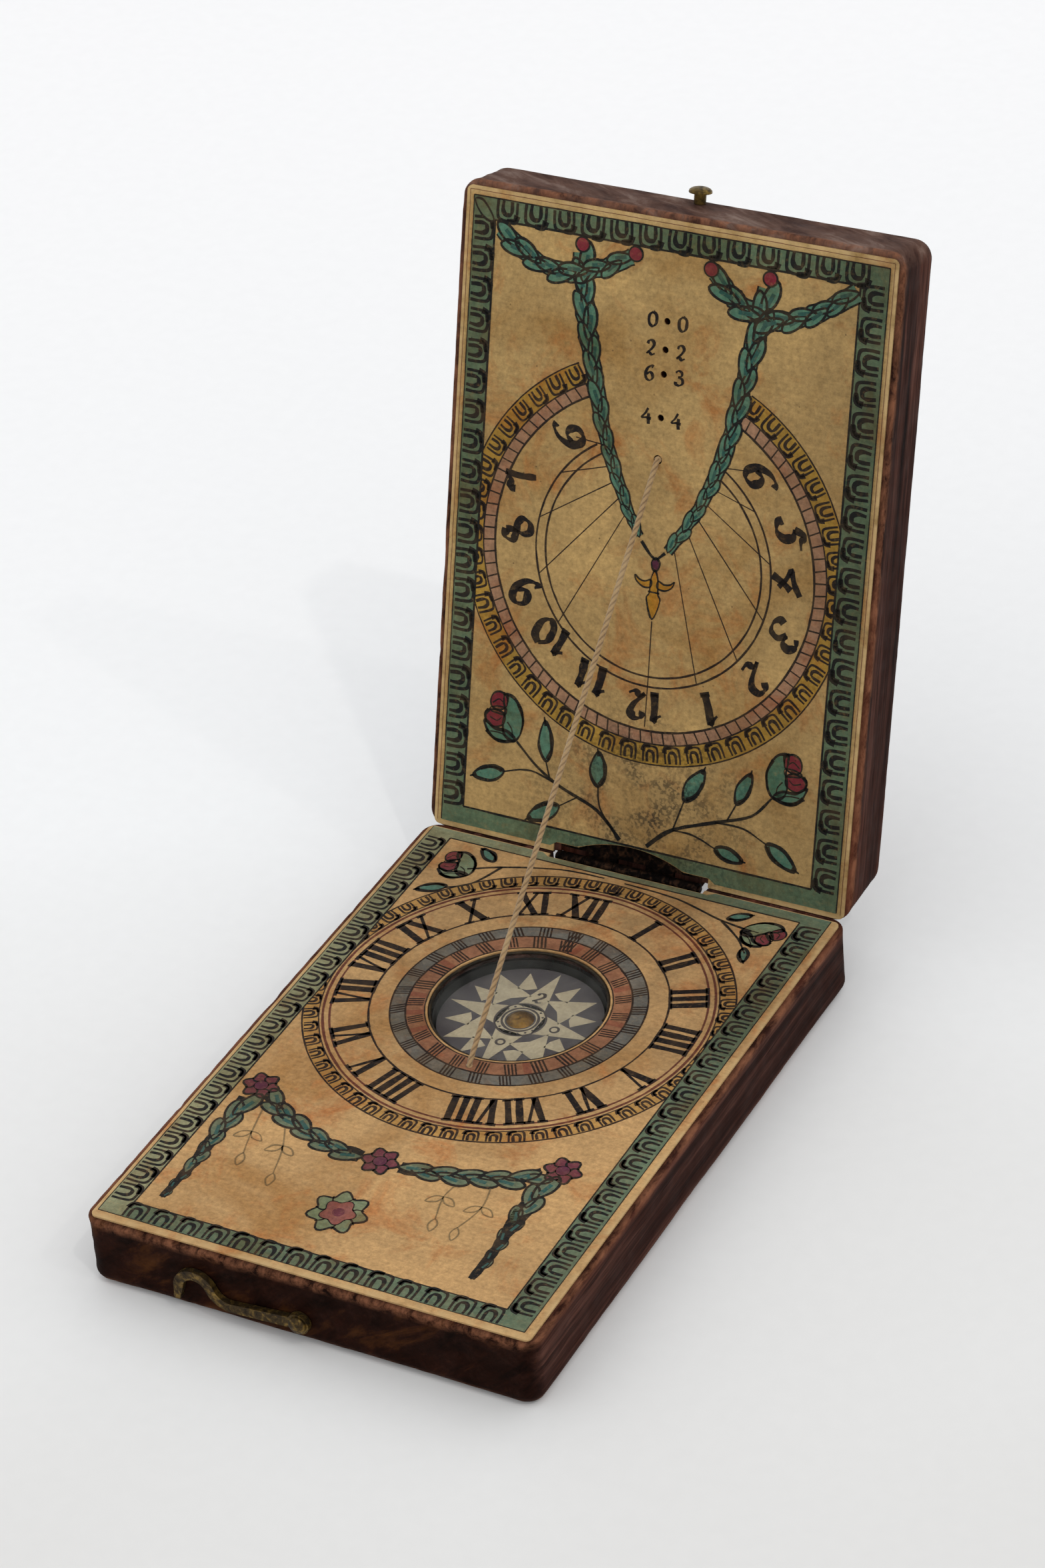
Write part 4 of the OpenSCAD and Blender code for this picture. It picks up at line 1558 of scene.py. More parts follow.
def round_cutter(start: Vector, end: Vector, radius: float, sides: int = 48) -> Piece:
    """Makes a cylinder to cut with.

    Args:
        start: Middle of one end, in metres.
        end: Middle of the other.
        radius: Its radius in millimetres.
        sides: Its sides.

    Returns:
        The object.
    """
    way = end - start
    turn = way.to_track_quat("Z", "Y").to_matrix().to_4x4()
    shape = bmesh.new()
    bmesh.ops.create_cone(
        shape, cap_ends=True, segments=sides, radius1=radius * MM, radius2=radius * MM, depth=way.length,
        matrix=Matrix.Translation((start + end) / 2) @ turn,
    )
    return shaped("cutter", shape)


def box_cutter(sheet: Sheet, x: Point, u: Point, depth: Point) -> Piece:
    """Makes a box to cut with.

    Args:
        sheet: The sheet that it is measured on.
        x: Its least and greatest x.
        u: Its least and greatest u.
        depth: Its least and greatest depth below the face.

    Returns:
        The object.
    """
    shape = bmesh.new()
    corners = [shape.verts.new(sheet.at(a, b, -c)) for c in depth for b in u for a in x]
    for face in ((0, 1, 3, 2), (4, 6, 7, 5), (0, 4, 5, 1), (2, 3, 7, 6), (0, 2, 6, 4), (1, 5, 7, 3)):
        shape.faces.new([corners[i] for i in face])
    bmesh.ops.recalc_face_normals(shape, faces=shape.faces)
    return shaped("cutter", shape)


def shaped(name: str, shape: bmesh.types.BMesh) -> Piece:
    """Turns a shape into an object and frees the shape."""
    mesh = bpy.data.meshes.new(name)
    shape.to_mesh(mesh)
    shape.free()
    return new_object(name, mesh)


@dataclass
class Leaves:
    """The two wooden leaves, with what is cut out of them. Sizes in millimetres from the face."""

    frame: Frame
    well_radius: float = 11.6
    well_floor: float = 7.2
    notch_half: float = 11.3
    notch_depth: float = 1.5
    lower_notch_end: float = -0.9
    upper_notch_ends: Point = (0.25, 0.7)
    barrel_half: float = 10.3
    barrel_bed: float = 0.88
    plate_end: float = 7.0
    plate_depth: float = 0.85
    nail_radius: float = 0.5
    nail_depth: float = 6.4
    stud_depth: float = 7.3
    bevel: float = 0.305
    hole_radius: float = 0.6
    spare_radius: float = 0.45
    pocket_radius: float = 2.2
    pocket_depth: float = 2.3
    lower_nose: float = 0.66
    upper_nose: float = 0.15
    spare_us: tuple[float, ...] = (61.6, 67.3, 70.5, 74.2)

    def _drill(
        self, sheet: Sheet, u: float, radius: float, top: float = 1, floor: float = -11, sides: int = 48
    ) -> Piece:
        """Makes a cutter for a hole on the middle line, between two heights off the face."""
        x = self.frame.line_x
        return round_cutter(sheet.at(x, u, top), sheet.at(x, u, floor), radius, sides)

    def build_lower(self, material: Material) -> Piece:
        """Builds the lower leaf's block."""
        sheet = self.frame.lower
        x = self.frame.line_x
        hole = self.frame.LOWER_HOLE_U
        block = LeafBlock("lower_leaf_wood", sheet, -1, material, 0.0, self.lower_nose, 2.0)
        return block.build([
            self._drill(sheet, self.frame.compass_u, self.well_radius, floor=-self.well_floor, sides=128),
            self._drill(sheet, hole, self.hole_radius),
            box_cutter(sheet, (x - self.notch_half, x + self.notch_half), (self.lower_notch_end, 1),
                       (-1, self.notch_depth)),
            round_cutter(sheet.at(x, -89, -self.nail_depth), sheet.at(x, -82, -self.nail_depth),
                         self.nail_radius),
            self._drill(sheet, hole, self.pocket_radius, self.pocket_depth - LeafBlock.depth),
            box_cutter(sheet, (x - self.barrel_half, x + self.barrel_half), (-self.plate_end, 1),
                       (-1, self.plate_depth)),
        ])

    def build_upper(self, material: Material) -> Piece:
        """Builds the lid's block."""
        sheet = self.frame.upper
        x = self.frame.line_x
        hole = self.frame.UPPER_HOLE_U
        left, right = x - self.barrel_half, x + self.barrel_half
        barrel = [self.frame.hinge + Vector((end, 0, 0)) * MM for end in (left, right)]
        block = LeafBlock("upper_leaf_wood", sheet, 1, material, self.bevel, self.upper_nose, 5.0)
        return block.build([
            self._drill(sheet, hole, self.hole_radius),
            box_cutter(sheet, (x - self.notch_half, left), (-1, self.upper_notch_ends[0]), (-1, 11)),
            box_cutter(sheet, (right, x + self.notch_half), (-1, self.upper_notch_ends[1]), (-1, 11)),
            round_cutter(sheet.at(x, 89, -self.stud_depth), sheet.at(x, 84, -self.stud_depth),
                         self.nail_radius),
            *(self._drill(sheet, u, self.spare_radius) for u in self.spare_us),
            self._drill(sheet, hole, self.pocket_radius, self.pocket_depth - LeafBlock.depth),
            box_cutter(sheet, (left, right), (0.2, self.plate_end), (-1, self.plate_depth)),
            round_cutter(*barrel, self.barrel_bed),
        ])


# The dials


@dataclass
class UpperDial:
    """Artwork of the lid: vertical dial with garlands, roses and an arched border.

    Sizes are in millimetres on the upper sheet.
    """

    sheet: Sheet
    centre: Point = (-0.5, 42.4)
    hole: Point = (-0.5, 56.1)
    left: float = -25.7
    right: float = 25.1
    top: float = 83.2
    foot: float = 3.4
    outer: float = 28.85
    head: float = 86.0
    ochre: Point = (27.2, 24.4)
    pink: Point = (24.4, 22.7)
    circles: Point = (16.7, 15.35)
    circle_span: Point = (122, 418)
    ring_start: float = 116.5
    ring_end: float = 423.5
    arch_middle: float = -0.7
    arch_half: float = 10.3
    arch_rise: float = 3.2
    notch_half: float = 11.35

    HOURS = (
        ("6", -13.5, 57), ("7", -19.8, 50), ("8", -20, 43), ("9", -18.5, 35),
        ("10", -14, 29.5), ("11", -8, 25.2), ("12", 0, 23), ("1", 9, 24.5),
        ("2", 15, 30), ("3", 18.5, 36.5), ("4", 18.7, 43.5), ("5", 18.3, 50), ("6", 13.7, 56.5),
    )
    HOUR_ANGLES = (14.5, 27.8, 41.2, 56.8, 72.9, 94)
    LATITUDES = (("0", "0", 74.2), ("2", "2", 70.5), ("6", "3", 67.2), ("4", "4", 61.6))
    LEFT_GARLAND = ((-13, 81), (-12.1, 73), (-10.2, 65), (-8, 57), (-5, 50), (-2.6, 45.6))
    RIGHT_GARLAND = ((12.8, 80.6), (11.4, 73), (9.9, 65), (8, 57), (4.9, 49.6), (1.6, 44.3))
    LEFT_SWAG = ((-24.8, 82.2), (-20.5, 79.4), (-15.5, 78.1), (-10.5, 79.4), (-6.2, 81.6))
    RIGHT_SWAG = ((5.4, 81.4), (9, 78.2), (13.5, 76.8), (19, 78.4), (24.8, 82.2))
    BERRIES = ((-13.1, 82.1), (-5.6, 82.1), (4.9, 81.9), (13, 82))

    def draw(self) -> Film:
        """Draws what stands once and gives the film that holds it."""
        film = Film(self.sheet)
        self._rings(film)
        self._hours(film)
        self._border(film)
        self._garlands(film)
        self._pendant(film)
        self._flowers(film)
        return film

    def _foot_edge(self, x: float) -> float:
        """Gives how low the paper reaches at a place along the hinge."""
        off = abs(x - self.arch_middle)
        radius = (self.arch_half ** 2 + self.arch_rise ** 2) / (2 * self.arch_rise)
        rise = math.sqrt(max(0, radius ** 2 - off ** 2)) - radius + self.arch_rise
        return max(0.9, rise + 0.06, 1.56 if off < self.notch_half else 0)

    def _rings(self, film: Film) -> None:
        """Draws the washes and the circles of the dial."""
        line = Inks.RING_LINE
        span = (self.ring_start, self.ring_end)
        film.band(self.centre, *self.ochre, Inks.OCHRE, *span)
        film.band(self.centre, *self.pink, Inks.PINK.over(1), *span)
        for radius, width in ((self.ochre[0], 0.2), (self.ochre[1], 0.22), (self.pink[1], 0.3)):
            film.ring(self.centre, radius, width, line, *span)
        for radius in self.circles:
            film.ring(self.centre, radius, 0.27, line, *self.circle_span)

    def _hours(self, film: Film) -> None:
        """Writes the hours, the latitudes and the hour lines."""
        nib = Nib(1.1, 0.34, 28)
        for text, x, u in self.HOURS:
            way = Vector((x - self.hole[0], u - self.hole[1]))
            top = math.degrees(math.atan2(way.y, way.x)) - 90
            write_digits(film, text, (x, u), top, 4.2 if len(text) == 1 else 3.8, nib, Inks.NUMERAL)
        small = Nib(0.45, 0.17, 28)
        for first, second, u in self.LATITUDES:
            write_digits(film, first, (-2.7, u), 0, 1.9, small, Inks.NUMERAL)
            write_digits(film, second, (1.5, u), 0, 1.9, small, Inks.NUMERAL)
        for angle in self.HOUR_ANGLES:
            for side in (-1, 1):
                self._hour_line(film, angle, side)
        film.line([(0, 34.6), (0.05, 27), (0, 20.2)], 0.17, Inks.RING_LINE)

    def _hour_line(self, film: Film, angle: float, side: int) -> None:
        """Rules one hour line from the garland to the inner circle."""
        sine = math.sin(math.radians(angle))
        cosine = math.cos(math.radians(angle))
        slope = 5 / 11
        start = 7.1 / (sine + slope * cosine) + 0.6
        drop = self.hole[1] - self.centre[1]
        reach = drop * cosine + math.sqrt(self.circles[0] ** 2 - (drop * sine) ** 2)
        if angle > 90:
            reach = start + 4
        ends = [(self.hole[0] + side * s * sine, self.hole[1] - s * cosine) for s in (start, reach)]
        film.line(ends, 0.15, Inks.RING_LINE.over(1))

    def _border(self, film: Film) -> None:
        """Paints the green border and rules its lines."""
        wash = Inks.GREEN
        line = Inks.BAND_LINE
        sides = (self.left, self.right)
        film.bar((-self.outer, self.left), (self.foot, self.head), wash)
        film.bar((self.right, self.outer), (self.foot, self.head), wash)
        film.strip([(x, self.head) for x in sides], [(x, self.top) for x in sides], wash)
        xs = [-self.outer + 2 * self.outer * i / 60 for i in range(61)]
        film.strip([(x, self.foot) for x in xs], [(x, self._foot_edge(x)) for x in xs], wash)
        film.rule([(self.left, self.foot), (self.left, self.top), (self.right, self.top),
                   (self.right, self.foot), (self.left, self.foot)], 0.27, line)
        for x in (-self.outer, self.outer):
            film.rule([(x, 1), (x, self.head)], 0.16, line)
            film.rule([(x * 1.02, 0.8), (x * 1.02, self.head + 0.7)], 0.07, Inks.RED_LINE)
        film.rule([(-self.outer, self.head), (self.outer, self.head)], 0.18, line)
        film.rule([(-29.4, 86.7), (29.4, 86.7)], 0.07, Inks.RED_LINE)
        leaf = [(-28.6, 85.6), (-27.4, 85.4), (-26, 83.6), (-26.2, 82.9), (-27.4, 83.4), (-28.4, 84.6)]
        film.shape(leaf, wash.over(5), line.over(6), 0.2)

    def _garlands(self, film: Film) -> None:
        """Paints the washes under the garlands, and the berries that hold them up."""
        wash = Inks.TEAL
        edge = Inks.OUTLINE.over(5)
        for path in (self.LEFT_GARLAND, self.RIGHT_GARLAND):
            film.taper(path, 3, 1.5, edge)
            film.taper(path, 2.5, 1, wash)
        for path in (self.LEFT_SWAG, self.RIGHT_SWAG):
            film.line(curve_through(path), 2.5, edge)
            film.line(curve_through(path), 2, wash)
        for x, u in self.BERRIES:
            film.fill(placed(circle((0, 0), 1, 0, 360, 30)[:-1], (x, u), 0.98), Inks.CRIMSON.over(20))
            film.ring((x, u), 0.95, 0.22, Inks.OUTLINE.over(21))

    def _pendant(self, film: Film) -> None:
        """Draws the bead and the gilt lily that hang from the garlands."""
        line = Inks.OUTLINE
        film.taper([(-2.2, 45), (-1, 43.6), (0, 42.8)], 0.5, 0.3, line)
        film.taper([(1.2, 44), (0.6, 43.4), (0.1, 42.9)], 0.4, 0.3, line)
        film.shape([(0, 43.1), (0.55, 42.6), (0.45, 41.8), (0, 41.4), (-0.45, 41.8), (-0.55, 42.6)],
                   Inks.PURPLE, line, 0.2)
        film.shape([(0, 41.4), (0.5, 40.2), (0.6, 38.4), (0.95, 37.4), (0, 34.9), (-0.95, 37.4),
                    (-0.6, 38.4), (-0.5, 40.2)], Inks.GOLD, line, 0.2)
        for side in (-1, 1):
            arm = ((0.45, 39.2), (1.5, 39), (2.5, 39.6), (2.8, 40.4), (2.2, 39.95), (1.4, 39.8), (0.5, 40.1))
            film.shape([(side * x, u) for x, u in arm], Inks.GOLD, line, 0.16)
        film.line([(-0.8, 38.5), (0.8, 38.5)], 0.22, line)

    def _flowers(self, film: Film) -> None:
        """Draws the two rose sprays."""
        stem = Inks.OUTLINE
        for path, width in (
            (((-2.5, 3.9), (-6, 7.2), (-11.5, 9.3), (-15.2, 11.4), (-18.3, 14.2)), 0.6),
            (((-11.5, 9.3), (-16, 10.6), (-20, 9.6)), 0.26),
            (((-13.2, 10.2), (-13.9, 12.4)), 0.22),
            (((-3.2, 4.6), (-5.6, 7.6), (-6.1, 10.6)), 0.3),
            (((-9, 8.4), (-11.6, 6.6)), 0.2),
            (((1.4, 3.9), (5, 7), (11, 9.4), (16, 11.4), (18.6, 14.4)), 0.6),
            (((5, 7), (8, 6.9), (11.2, 5.8)), 0.28),
            (((11, 9.4), (15, 9.4), (18.4, 8)), 0.26),
            (((5, 7), (6.4, 11.4)), 0.22),
            (((12.6, 10), (13.8, 12.6)), 0.22),
        ):
            film.taper(path, width, 0.14 + width * 0.22, stem)
        for base, tip, width in (
            ((-13.8, 12.4), (-14.3, 18), 2), ((-6.1, 10.6), (-6.3, 15.4), 2.3),
            ((-20, 9.6), (-24.6, 8.2), 2), ((-11.6, 6.6), (-16.2, 3.9), 2.2),
            ((6.4, 11.4), (9, 16.2), 2.2), ((13.8, 12.6), (15.6, 17.2), 1.9),
            ((11.2, 5.8), (15.3, 4.8), 1.7), ((18.4, 8), (22.8, 5.2), 2),
        ):
            draw_leaf(film, base, tip, width)
        draw_rose(film, (-20.5, 17.2), 7, 8, False)
        draw_rose(film, (20.6, 17.6), 7, -6, True)

    def rows(self) -> list[MotifRow]:
        """Gives the rows of what repeats."""
        bands = [
            [(-27.3, 5), (-27.3, 81.9)], [(27, 81.9), (27, 5)], [(-24, 84.6), (24.6, 84.6)],
        ]
        ring = Inks.RING_LINE
        arch_path = list(reversed(circle(self.centre, 25.8, self.ring_start + 2.5, self.ring_end - 2.5)))
        rung_path = circle(self.centre, 23.55, self.ring_start, self.ring_end)
        garlands = [curve_through(path)[3:] for path in (self.LEFT_GARLAND, self.RIGHT_GARLAND)]
        swags = [curve_through(path)[4:] for path in (self.LEFT_SWAG, self.RIGHT_SWAG)]
        green = Inks.TEAL.over(7)
        return [
            MotifRow("upper_border_arches", 3.85, bands,
                     lambda f: draw_arch(f, 2.9, 2.7, 0.54, Inks.BAND_LINE), 0.06, 3),
            MotifRow("upper_ring_arches", 3.15, [arch_path],
                     lambda f: draw_arch(f, 2.1, 2.2, 0.38, ring), 0.08, 4),
            MotifRow("upper_ring_rungs", 1.6, [rung_path],
                     lambda f: f.line([(-0.12, 0.82), (0.12, -0.82)], 0.2, ring), 0.1, 5),
            MotifRow("upper_garland_leaves", 1.8, garlands,
                     lambda f: draw_garland_leaf(f, 5, 2, green), 0.05, 6, 12, 0.0015, 0.55),
            MotifRow("upper_swag_leaves", 1.6, swags,
                     lambda f: draw_garland_leaf(f, 4.2, 1.8, green), 0.05, 7, 13, 0.0015, 0.85),
        ]


@dataclass
class LowerDial:
    """Artwork of the lower leaf: level dial round the compass, with swags and rosettes.

    Sizes are in millimetres on the lower sheet, where u is negative.
    """

    sheet: Sheet
    centre: Point
    left: float = -26.0
    right: float = 25.0
    hinge_end: float = -2.0
    front: float = -83.2
    outer_left: float = -29.4
    outer_right: float = 28.7
    outer_front: float = -86.0
    ochre: Point = (27.5, 25.4)
    numeral_radius: float = 21.5
    numeral_height: float = 4.7
    notch_half: float = 11.35

    HOURS = (
        ("XII", -4), ("XI", -22.4), ("X", -44), ("IX", -64), ("VIII", -84), ("VII", -104.5),
        ("VI", -128), ("V", -146.5), ("IIII", -161.5), ("I", 21.9), ("II", 43.8), ("III", 64.8),
        ("IIII", 87.5), ("V", 110.8), ("VI", 130.8), ("VII", 150.8), ("VIII", 167.9),
    )
    SWAGS = (
        ((-21.4, -58.6), (-17, -61.8), (-12, -63.9), (-8, -64.9), (-4.6, -65.1)),
        ((17.4, -59.6), (14, -62), (9.5, -63.4), (5, -64.6), (0.8, -65.1)),
    )
    TASSELS = (
        ((-23.2, -60.4), (-23.3, -68), (-23.1, -75), (-23.4, -81)),
        ((18.6, -61), (18.5, -68), (18.7, -75), (18.5, -80)),
    )

    def draw(self) -> Film:
        """Draws what stands once and gives the film that holds it."""
        film = Film(self.sheet)
        self._rings(film)
        self._hours(film)
        self._border(film)
        self._flowers(film)
        return film

    def _rings(self, film: Film) -> None:
        """Draws the washes and the circles of the dial."""
        film.band(self.centre, *self.ochre, Inks.PALE_OCHRE)
        film.band(self.centre, 16.4, 14.4, Inks.GREY)
        film.band(self.centre, 14.4, 11.95, Inks.ORANGE)
        for radius, width, ink in (
            (27.5, 0.24, Inks.RING_LINE), (25.4, 0.16, Inks.RING_LINE), (24.9, 0.34, Inks.RED_LINE),
            (24.05, 0.26, Inks.RED_LINE), (19.1, 0.26, Inks.RING_LINE), (16.4, 0.22, Inks.RING_LINE),
            (14.4, 0.26, Inks.RING_LINE), (11.95, 0.2, Inks.RING_LINE),
        ):
            film.ring(self.centre, radius, width, ink)

    def _hours(self, film: Film) -> None:
        """Writes the hours with their tops outwards."""
        pen = RomanPen()
        for text, angle in self.HOURS:
            a = math.radians(angle)
            place = (
                self.centre[0] + self.numeral_radius * math.sin(a),
                self.centre[1] + self.numeral_radius * math.cos(a),
            )
            pen.write(film, text, place, -angle, self.numeral_height, Inks.NUMERAL)

    def _border(self, film: Film) -> None:
        """Paints the green border and rules its lines."""
        wash = Inks.GREEN
        pale = Inks.PALE_GREEN
        line = Inks.BAND_LINE
        low, high = self.outer_front, self.hinge_end
        sides = (self.left, self.right)
        film.bar((self.outer_left, self.left), (low, high), pale)
        film.bar((self.right, self.outer_right), (low, high), wash)
        film.strip([(x, self.front) for x in sides], [(x, low) for x in sides], wash)
        xs = [self.outer_left + (self.outer_right - self.outer_left) * i / 60 for i in range(61)]
        ends = [-0.98 if abs(x - self.centre[0]) < self.notch_half + 0.7 else -0.35 for x in xs]
        film.strip(list(zip(xs, ends)), [(x, high) for x in xs], pale, last=wash)
        film.rule([(self.left, self.front), (self.left, high), (self.right, high),
                   (self.right, self.front), (self.left, self.front)], 0.2, line)
        for x in (self.outer_left, self.outer_right):
            film.rule([(x, low), (x, -0.4)], 0.12, line)
        film.rule([(self.outer_left, low), (self.outer_right, low)], 0.12, line)

    def _flowers(self, film: Film) -> None:
        """Draws the roses by the hinge, and the rosettes, swags and tassels by the clasp."""
        crimson = Inks.MULBERRY
        stem = Inks.OUTLINE
        for path in (
            ((-20.6, -7.4), (-16, -5.2), (-9, -3), (-2.8, -2.6)),
            ((-16.5, -5.4), (-18.5, -10), (-21.5, -12.2)),
            ((20, -6), (15, -5.2), (8, -3.2), (0.2, -2.7)),
            ((15.5, -5.4), (19, -8), (21.2, -10.6)),
        ):
            film.taper(path, 0.34, 0.22, stem)
        faded = (Ink((104, 46, 50), 7), Ink((104, 120, 88), 6))
        draw_rose(film, (-22.4, -7), 6, 30, False, *faded)
        draw_rose(film, (21.8, -6.1), 6, -60, True, *faded)
        for base, tip, width in (
            ((-18, -4.6), (-20.8, -2.6), 1.5), ((-21.4, -11.8), (-24.9, -13.8), 1.6),
            ((16, -4.6), (18.8, -2.9), 1.4), ((20.6, -9.6), (21.8, -12.4), 1.2),
        ):
            draw_leaf(film, base, tip, width)
        edge = Inks.OUTLINE.over(5)
        for path in self.SWAGS:
            film.line(curve_through(path), 2.1, edge)
        for path in self.TASSELS:
            film.taper(path, 2.5, 0.8, edge)
        for centre in ((-23, -57.6), (-2, -65), (19.5, -58.2)):
            draw_rosette(film, centre, 2.5, crimson, Inks.PURPLE.over(9))
        draw_rosette(film, (-2, -75.4), 3.9, faded[1], faded[1], 7)
        draw_rosette(film, (-2, -75.4), 2.3, Ink((120, 74, 64), 9), crimson.over(10), 5)
        faint = Inks.FAINT
        for path in (
            ((-20.5, -61.5), (-19.5, -66), (-18.4, -70)), ((-17, -62), (-14.5, -67), (-13, -72)),
            ((9, -64), (8.4, -68), (9.4, -72)), ((12.5, -63), (13.6, -68), (12.6, -72.5)),
        ):
            film.taper(path, 0.2, 0.14, faint)
            for foot, turn in ((path[-1], -80), (path[1], -30), (path[1], -140)):
                blade = curve_through([(0, 0), (1.1, 0.55), (2.3, 0), (1.1, -0.55)], 4, closed=True)
                film.line(placed(blade, foot, 1, turn), 0.18, faint, True)

    def rows(self) -> list[MotifRow]:
        """Gives the rows of what repeats."""
        bands = [
            [(-27.8, -81.8), (-27.8, -4)], [(26.9, -4), (26.9, -81.8)], [(23.6, -84.6), (-24.8, -84.6)],
        ]
        ring = Inks.RING_LINE
        green = Inks.FADED_TEAL

        def round_path(radius: float) -> list[Outline]:
            """Gives a full turn at a radius, clockwise."""
            return [list(reversed(circle(self.centre, radius, 90, 449)))]

        def hatch(film: Film, gap: float, height: float, width: float) -> None:
            """Draws four short strokes across the path."""
            for place in (-1.5, -0.5, 0.5, 1.5):
                x = place * gap
                film.line([(x - 0.1, height / 2), (x + 0.1, -height / 2)], width, ring)

        return [
            MotifRow("lower_border_arches", 3.5, bands,
                     lambda f: draw_arch(f, 2.7, 2.7, 0.46, Inks.BAND_LINE), 0.05, 13),
            MotifRow("lower_ring_arches", math.tau * 26.45 / 60, round_path(26.45),
                     lambda f: draw_arch(f, 1.8, 1.8, 0.36, ring), 0.06, 14),
            MotifRow("lower_grey_hatching", math.tau * 15.4 / 26, round_path(15.4),
                     lambda f: hatch(f, 0.45, 1.9, 0.22), 0.1, 15),
            MotifRow("lower_orange_hatching", math.tau * 13.2 / 24, round_path(13.2),
                     lambda f: hatch(f, 0.46, 2.2, 0.24), 0.12, 16),
            MotifRow("lower_orange_shades", math.tau * 13.2 / 24, round_path(13.2),
                     lambda f: f.line([(1.45, 1.1), (1.3, -1.1)], 0.9, Ink((118, 72, 50), 1)), 0.12, 19),
            MotifRow("lower_swag_leaves", 1.6, [curve_through(path)[4:] for path in self.SWAGS],
                     lambda f: draw_garland_leaf(f, 4.2, 1.9, green), 0.08, 17, 15, 0.0015, 0.95),
            MotifRow("lower_tassel_leaves", 1.6, [curve_through(path)[3:] for path in self.TASSELS],
                     lambda f: draw_garland_leaf(f, 4.8, 2.2, green), 0.08, 18, 13, 0.0015, 0.35),
        ]


# The string


@dataclass
class GnomonString:
    """The twisted thread that casts the shadow, taut from leaf to leaf. Sizes in millimetres."""

    frame: Frame
    radius: float = 0.36
    proud: float = 0.05
    knot_proud: float = 0.1
    bend: float = 0.5
    plies: int = 3
    lay: float = 3.4
    groove: float = 0.17
    ring_step: float = 0.22
    sides: int = 24

    def route(self) -> list[Vector]:
        """Gives the points that the string follows from hole to hole, in metres."""
        x = self.frame.line_x
        start = self.frame.lower.at(x, self.frame.LOWER_HOLE_U, self.proud)
        end = self.frame.upper.at(x, self.frame.UPPER_HOLE_U, self.proud)
        way = (end - start).normalized()
        inward = -self.frame.upper.out
        first = start + self.bend * MM * (way + 0.3 * self.frame.lower.out)
        last = end - self.bend * MM * (way + 0.3 * inward)
        straight = 30
        middle = [first + (last - first) * i / straight for i in range(straight + 1)]
        return [start, *middle, end]

    def build(self, material: Material) -> Piece:
        """Builds the thread.

        Args:
            material: A material that reads the ply attribute.

        Returns:
            The piece.
        """
        route = self.route()
        rings: list[tuple[Vector, Vector]] = []
        for i, (a, b) in enumerate(zip(route, route[1:])):
            count = max(1, round((b - a).length / (self.ring_step * MM)))
            way = (b - a).normalized()
            rings.extend((a + (b - a) * k / count, way) for k in range(count))
        rings.append((route[-1], -self.frame.upper.out))
        rings[0] = (route[0], self.frame.lower.out)
        vertices: list[Vector] = []
        plies: list[float] = []
        gone = 0.0
        for number, (place, way) in enumerate(rings):
            gone += (place - rings[max(number - 1, 0)][0]).length / MM
            across = Vector((1, 0, 0))
            up = way.cross(across).normalized()
            for k in range(self.sides):
                angle = math.tau * k / self.sides
                ridge = abs(math.cos(self.plies / 2 * (angle - math.tau * gone / self.lay)))
                size = self.radius * (1 - self.groove + self.groove * ridge ** 0.7) * MM
                vertices.append(place + size * (math.cos(angle) * across + math.sin(angle) * up))
                plies.append(ridge)
        n = self.sides
        faces = [
            (i + k, i + (k + 1) % n, i + n + (k + 1) % n, i + n + k)
            for i in range(0, (len(rings) - 1) * n, n) for k in range(n)
        ]
        faces += [tuple(reversed(range(n))), tuple(range(len(vertices) - n, len(vertices)))]
        piece = mesh_piece("twisted_string", vertices, faces, material)
        write_values(piece, "ply", plies)
        shade_smooth(piece, 60)
        return piece

    def trim_knot(self, node: str, sheet: Sheet, material: Material, body: Body) -> None:
        """Puts a knot in a packed one's place, with its end low enough to clear the other leaf.

        Args:
            node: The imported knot.
            sheet: The sheet that its end comes through.
            material: A material that reads the ply attribute.
            body: The body that it rides on.
        """
        shape = bmesh.new()
        shape.from_mesh(bpy.data.objects[node].data)
        bmesh.ops.remove_doubles(shape, verts=shape.verts, dist=1e-6)
        for vertex in shape.verts:
            x, u, h = sheet.read(vertex.co)
            if h > self.knot_proud:
                vertex.co = sheet.at(x, u, self.knot_proud)
        piece = shaped("trimmed_" + node, shape)
        piece.data.materials.append(material)
        # These ply values drive the thread's painted shade between plies on the knot.
        turns = ((v.co.x + v.co.y + v.co.z) / (self.lay * MM) for v in piece.data.vertices)
        write_values(piece, "ply", [abs(math.sin(math.tau * turn)) for turn in turns])
        shade_smooth(piece, 50)
        hand_over(piece, body, Slot.STRING, node)

    def declare(self, piece: Piece) -> None:
        """Hides the imported string, which this one stands in for, and bakes this one's transform."""
        route = self.route()
        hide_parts("gnomon_string")
        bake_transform(piece)


# The compass


